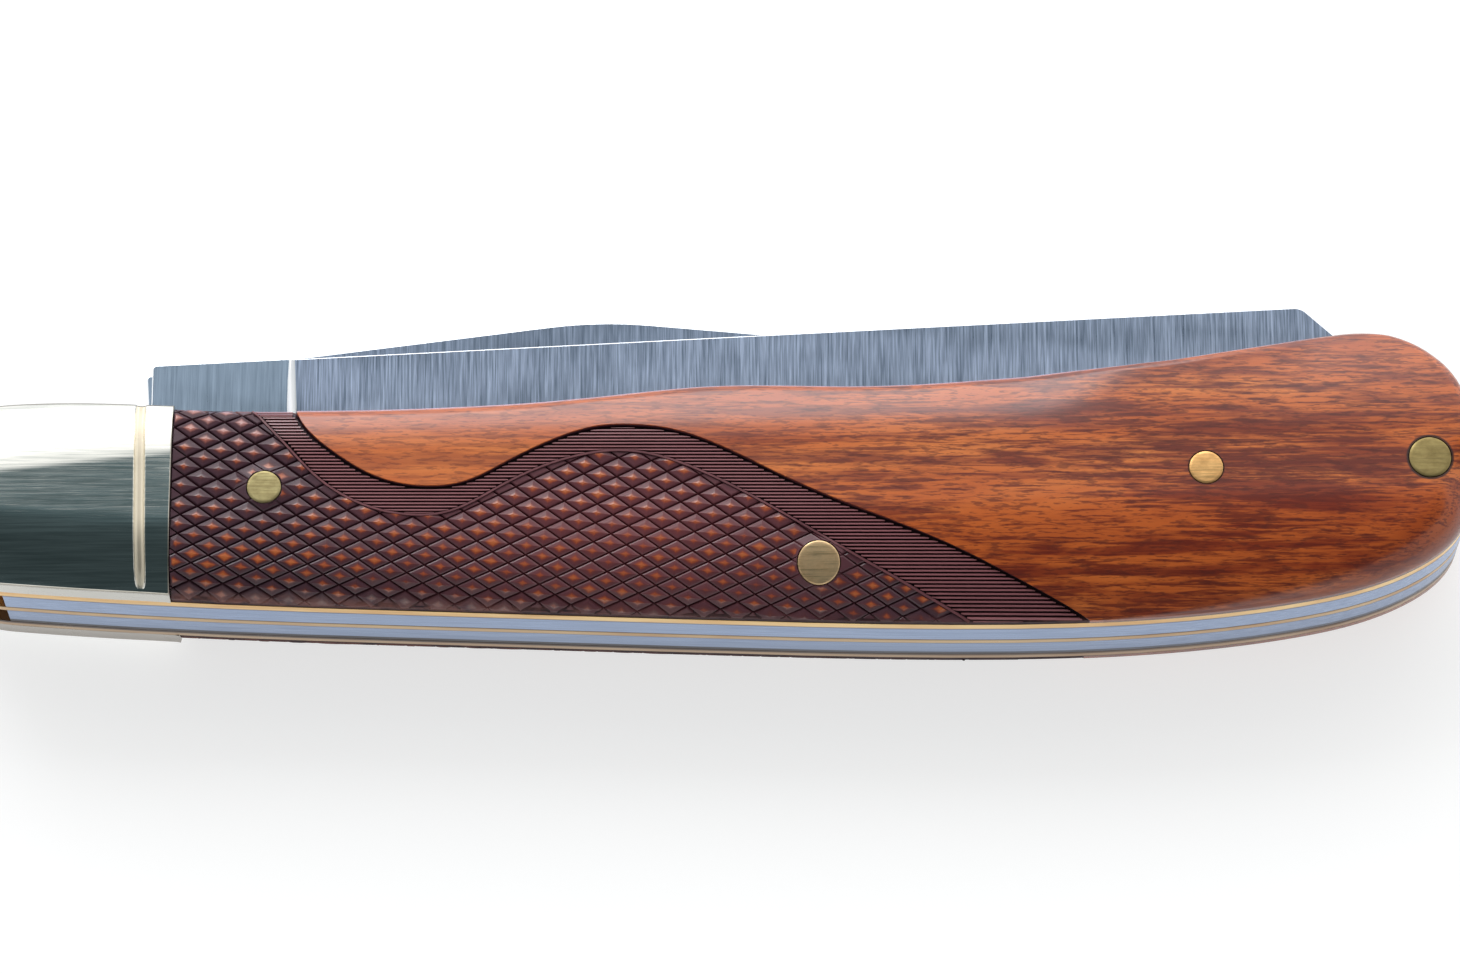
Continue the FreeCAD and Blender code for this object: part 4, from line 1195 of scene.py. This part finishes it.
shape.to_mesh(cell_mesh)
shape.free()
full_cell = abs(rise[0] * fall[1] - rise[1] * fall[0])
noted(cell_mesh, "whole", "BOOLEAN", "FACE",
      [face.area > WHOLE_SHARE * full_cell for face in cell_mesh.polygons])
steps = {}
last_height, last_share = 0.0, 1.0
for step in DIAMOND_HEIGHTS:
    steps[step + " height"] = DIAMOND_HEIGHTS[step] - last_height
    steps[step + " share"] = DIAMOND_SHARES[step] / last_share
    last_height, last_share = DIAMOND_HEIGHTS[step], DIAMOND_SHARES[step]
diamonds = grown(cell_mesh, checkering, steps, wood)
diamond_spots = spots_of(diamonds)
diamond_spots[:, 1] = untemplated(*diamond_spots[:, :2].T)
laid(diamond_spots, patches_of(diamonds), DIAMOND_HEIGHTS["Top"], DIAMOND_KIND)

# Border ridges: strips between the two waves, raised and narrowed upwards.
ridges, given, output = tree_of("border_ridges", ["Height", "Top share"])
strip_up = add(ridges, "GeometryNodeExtrudeMesh", {
    "Mesh": given["Geometry"], "Offset Scale": given["Height"], "Individual": False})
strip_top = add(ridges, "GeometryNodeScaleElements", {
    "Geometry": strip_up.outputs["Mesh"], "Selection": strip_up.outputs["Top"],
    "Scale": given["Top share"], "Axis": (0.0, 1.0, 0.0)}, scale_mode="SINGLE_AXIS")
closed_tree(ridges, given, output, strip_top.outputs[0])

band_outer = shifted(outer, -(WALL_RUN + RIDGE_GAP))
band_inner = shifted(inner, BEAD_WIDTH / 2)
x_stops = np.arange(band_inner[0, 0], band_outer[-1, 0], RIDGE_STEP)
ceiling = np.minimum(np.interp(x_stops, *band_outer.T, left=RIDGE_CEILING),
                     np.interp(x_stops, *front_edge.T))
ground_line = np.maximum(np.interp(x_stops, *band_inner.T), np.interp(x_stops, *back_edge.T))
strip_spots, strip_faces = [], []
for step in range(*RIDGE_ROWS):
    low_side = np.maximum(step * RIDGE_PITCH - RIDGE_WIDTH / 2, ground_line)
    high_side = np.minimum(step * RIDGE_PITCH + RIDGE_WIDTH / 2, ceiling)
    tall = high_side - low_side > RIDGE_LEAST
    tall &= ~within(rings[1], x_stops, (low_side + high_side) / 2)
    ends = np.flatnonzero(np.diff(np.concatenate([[False], tall, [False]]).astype(int)))
    for start, end in zip(ends[::2], ends[1::2]):
        first, count = len(strip_spots), end - start
        for side in (low_side, high_side):
            strip_spots += [(x, y, 0.0) for x, y in zip(x_stops[start:end], side[start:end])]
        strip_faces += [(spot, spot + 1, spot + 1 + count, spot + count)
                        for spot in range(first, first + count - 1)]
strip_mesh = bpy.data.meshes.new("strips")
strip_mesh.from_pydata(strip_spots, [], strip_faces)
strips = grown(strip_mesh, ridges, {"Height": RIDGE_HEIGHT, "Top share": RIDGE_TOP_SHARE}, wood)
laid(spots_of(strips), patches_of(strips), RIDGE_HEIGHT, RIDGE_KIND)

# Bead: a low rounded line left standing along the inner wave.
bead_line = inner[within(border, *inner.T)]
bead_spots, bead_faces = [], []
for row, (aside, height) in enumerate(BEAD_PROFILE):
    line = shifted(bead_line, aside * BEAD_WIDTH)
    bead_spots += [(x, y, height * BEAD_HEIGHT) for x, y in line]
    if row:
        count = len(line)
        bead_faces += [[spot - count, spot - count + 1, spot + 1, spot]
                       for spot in range(row * count, row * count + count - 1)]
laid(np.array(bead_spots), bead_faces, BEAD_HEIGHT / BEAD_RELIEF_SHARE, RIDGE_KIND)

laid_points = np.array(points)
edge_share = np.clip(1 - rim_distance(*laid_points[:, :2].T) / EDGE_WEAR, 0, 1)
edge_share *= laid_points[:, 2] > COVER_BASE + FOOT_TOLERANCE
steep_share = 1 - scale_normals(*laid_points[:, :2].T)[:, 2]
for side in ("upper", "lower"):
    carved = made("_scale_carved", side, points, faces, normals, {
        "relief": relief, "kind": kind, "edge": edge_share, "steep": steep_share})
    put(carved, "handle", "scale_wood", wood, side + "_scale")

# Brass pins
# Two pins run right through the springs and four short ones hold the scales. They are
# peened over, then ground and buffed flush with the crown of the wood.
PIN_PROUD = 0.05
PIN_SIDES = 56
PIN_FOOT = 0.85
PIN_SHARP = math.radians(40)
PIN_POLISH = {"scale_pin_front": 0.45, "centre_pin": 1.0, "scale_pin_rear": 0.88, "tail_pin": 0.15}
# Steps of a peened head: share of the height that it stands proud, and narrowing.
HEAD_STEPS = ((0.45, 0.975), (0.3, 0.96), (0.15, 0.9), (0.1, 0.6), (0.0, 0.3))
PIN_TONES = (
    (0.0, (0.32, 0.235, 0.085)), (0.5, (0.47, 0.40, 0.20)), (0.88, (0.86, 0.50, 0.20)),
    (1.0, (0.98, 0.70, 0.40)),
)
PIN_OLIVE = (0.66, 0.64, 0.62, 1)
PIN_LINES = (0.20, 0.155, 0.07, 1)

pin_heads, given, output = tree_of("pin_heads", ["Proud"])
disc = add(pin_heads, "GeometryNodeMeshCircle", {"Vertices": PIN_SIDES, "Radius": 1.0},
           fill_type="NGON")
shank = add(pin_heads, "GeometryNodeExtrudeMesh", {
    "Mesh": disc.outputs[0], "Offset Scale": 1.0, "Individual": True})
shaped, chosen = shank.outputs["Mesh"], shank.outputs["Top"]
for rise_share, width in HEAD_STEPS:
    lift = times(pin_heads, given["Proud"], rise_share)
    shaped, chosen = lifted(pin_heads, shaped, lift, width, chosen)
width_of = add(pin_heads, "GeometryNodeInputNamedAttribute", {"Name": "radius"}, data_type="FLOAT")
size_of = add(pin_heads, "ShaderNodeCombineXYZ", {
    0: width_of.outputs[0], 1: width_of.outputs[0], 2: 1.0})
stands = add(pin_heads, "GeometryNodeInstanceOnPoints", {
    "Points": given["Geometry"], "Instance": shaped, "Scale": size_of.outputs[0]})
closed_tree(pin_heads, given, output, stands.outputs[0])

pin_mesh = bpy.data.meshes.new("pin_places")
pin_mesh.from_pydata([(*pin_places[pin], 0.0) for pin in SCALE_PINS], [], [])
noted(pin_mesh, "radius", "FLOAT", "POINT", list(SCALE_PINS.values()))

pin_brass, tree, shader = new_finish("pin_brass")
brushed = streaks(tree, (0.25, 5.0, 5.0), 3.0, math.radians(3.0))
tarnish = streaks(tree, (0.9, 1.4, 1.4), 4.0)
bright = tones(tree, attribute(tree, "polish"), PIN_TONES)
olive = blended(tree, 1.0, bright, PIN_OLIVE, "MULTIPLY")
brass = blended(tree, spread(tree, tarnish, 0.35, 0.65, 0.0, 1.0), bright, olive)
brass = blended(tree, spread(tree, brushed, 0.50, 0.72, 0.0, 0.6), brass, PIN_LINES)
metal(tree, shader, brass, spread(tree, tarnish, 0.3, 0.7, 0.42, 0.58),
      raised(tree, brushed, 0.02 * MM, 0.5))

pins = grown(pin_mesh, pin_heads, {"Proud": PIN_PROUD}, pin_brass)
pin_spots = spots_of(pins)
head = pin_spots[:, 2] > 0.5
nearest = np.argmin(
    [np.hypot(*(pin_spots[:, :2] - place).T) for place in pin_places.values()], axis=0)
through = np.array([pin in ("centre_pin", "tail_pin") for pin in SCALE_PINS])[nearest]
buffing = np.array([PIN_POLISH[pin] for pin in SCALE_PINS])[nearest]
pin_spots[head, 2] += scale_top(*pin_spots[head, :2].T) - 1.0
pin_spots[~head, 2] = np.where(through[~head], TOTAL / 2, COVER_BASE - PIN_FOOT)
for side in ("upper", "lower"):
    shape = bmesh.new()
    shape.from_mesh(pins)
    for vertex, spot in zip(shape.verts, pin_spots):
        vertex.co = spot * MM
        if side == "lower":
            vertex.co.z = TOTAL * MM - vertex.co.z
    open_edges = [edge for edge in shape.edges if edge.is_boundary]
    bmesh.ops.holes_fill(shape, edges=open_edges, sides=0)
    bmesh.ops.recalc_face_normals(shape, faces=shape.faces)
    mesh = mesh_of(shape, side + "_pins")
    smoothed(mesh)
    mesh.set_sharp_from_angle(angle=PIN_SHARP)
    noted(mesh, "polish", "FLOAT", "POINT", buffing)
    heads = in_scene(side + "_pins_peened", mesh)
    nodes = [side + "_scale_pin_front", side + "_scale_pin_rear"]
    put(heads, "handle", "pin_brass", pin_brass, *nodes)
    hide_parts("centre_pin", "tail_pin")

# Floor, light and camera
# The knife lies on a plain white table under a soft sky, brightest behind and with a dark
# patch overhead, and one soft lamp behind. The camera stands as in the photograph.
FLOOR_SIZE = 3.0
FLOOR_GAP = 0.1
FLOOR_GREY = (0.44, 0.44, 0.44, 1)
FLOOR_GLOW = 0.68
# Dark patch of the sky: where its middle stands from overhead, and its reach each way.
PATCH_MIDDLE = math.radians(-21.5)
PATCH_DEPTH = math.radians(43.5)
PATCH_WIDTH = math.radians(50.0)
SKY_TONES = (
    (0.0, (0.054, 0.079, 0.085)), (0.36, (0.056, 0.082, 0.089)), (0.44, (0.074, 0.111, 0.122)),
    (0.485, (0.10, 0.148, 0.162)), (0.525, (0.98, 0.98, 0.96)), (1.0, (1.0, 1.0, 1.0)),
)
BOX_BEARING = math.radians(45.5)
BOX_DISTANCE = 1.0
BOX_SIDE = -0.20

bpy.ops.mesh.primitive_plane_add(size=FLOOR_SIZE)
floor = bpy.context.object
floor.name = "table"
for vertex in floor.data.vertices:
    vertex.co.z = -FLOOR_GAP * MM
floor_white, tree, shader = new_finish("table_white")
shader.inputs["Base Color"].default_value = FLOOR_GREY
shader.inputs["Roughness"].default_value = 0.9
shader.inputs["Specular IOR Level"].default_value = 0.0
path = add(tree, "ShaderNodeLightPath").outputs
seen = math_node(tree, "MAXIMUM", path["Is Camera Ray"], path["Is Glossy Ray"])
seen = math_node(tree, "MAXIMUM", seen, path["Is Transmission Ray"])
shader.inputs["Emission Color"].default_value = (1, 1, 1, 1)
fed(tree, shader, Emission_Strength=times(tree, seen, FLOOR_GLOW))
floor.data.materials.append(floor_white)

sky = bpy.data.worlds.new("soft_sky")
bpy.context.scene.world = sky
sky.use_nodes = True
tree = sky.node_tree
ray = add(tree, "ShaderNodeSeparateXYZ", {
    "Vector": add(tree, "ShaderNodeTexCoord").outputs["Generated"]}).outputs


def bearing(axis, middle, extent):
    """Angle from straight overhead along one axis, as a share of the dark patch."""
    moved = math_node(tree, "SUBTRACT", math_node(tree, "ARCTAN2", ray[axis], ray["Z"]), middle)
    return math_node(tree, "DIVIDE", moved, extent)


patch = add(tree, "ShaderNodeCombineXYZ", {
    0: bearing("X", 0.0, PATCH_WIDTH), 1: bearing("Y", PATCH_MIDDLE, PATCH_DEPTH)}).outputs[0]
from_patch = add(tree, "ShaderNodeVectorMath", {0: patch}, operation="LENGTH").outputs["Value"]
light = tones(tree, spread(tree, from_patch, 0.0, 2.0, 0.0, 1.0), SKY_TONES)
behind = plus(tree, spread(tree, ray["Y"], -0.2, 0.42, 0.65, 1.1),
              spread(tree, ray["Y"], 0.42, 0.87, 0.0, 1.1),
              spread(tree, ray["Y"], -0.96, -0.86, 0.9, 0.0))
background = tree.nodes["Background"]
tree.links.new(blended(tree, 1.0, light, behind, "MULTIPLY"), background.inputs["Color"])
background.inputs["Strength"].default_value = 1.0

softbox = bpy.data.lights.new("softbox", "AREA")
softbox.shape = "RECTANGLE"
softbox.size = 0.66
softbox.size_y = 0.44
softbox.energy = 3.8
softbox.color = (0.92, 0.97, 1.0)
lamp = in_scene("softbox", softbox)
lamp.location = (
    BOX_SIDE, BOX_DISTANCE * math.sin(BOX_BEARING), BOX_DISTANCE * math.cos(BOX_BEARING))
lamp.rotation_euler = (-BOX_BEARING, 0, 0)

eye = bpy.data.cameras.new("camera")
eye.lens = 151.2
eye.sensor_width = 36.0
camera = in_scene("camera", eye)
camera.location = (0.0448, -0.14430, 0.40487)
camera.rotation_euler = (math.radians(20), 0, 0)
bpy.context.scene.camera = camera
bpy.context.scene.view_settings.view_transform = "Standard"
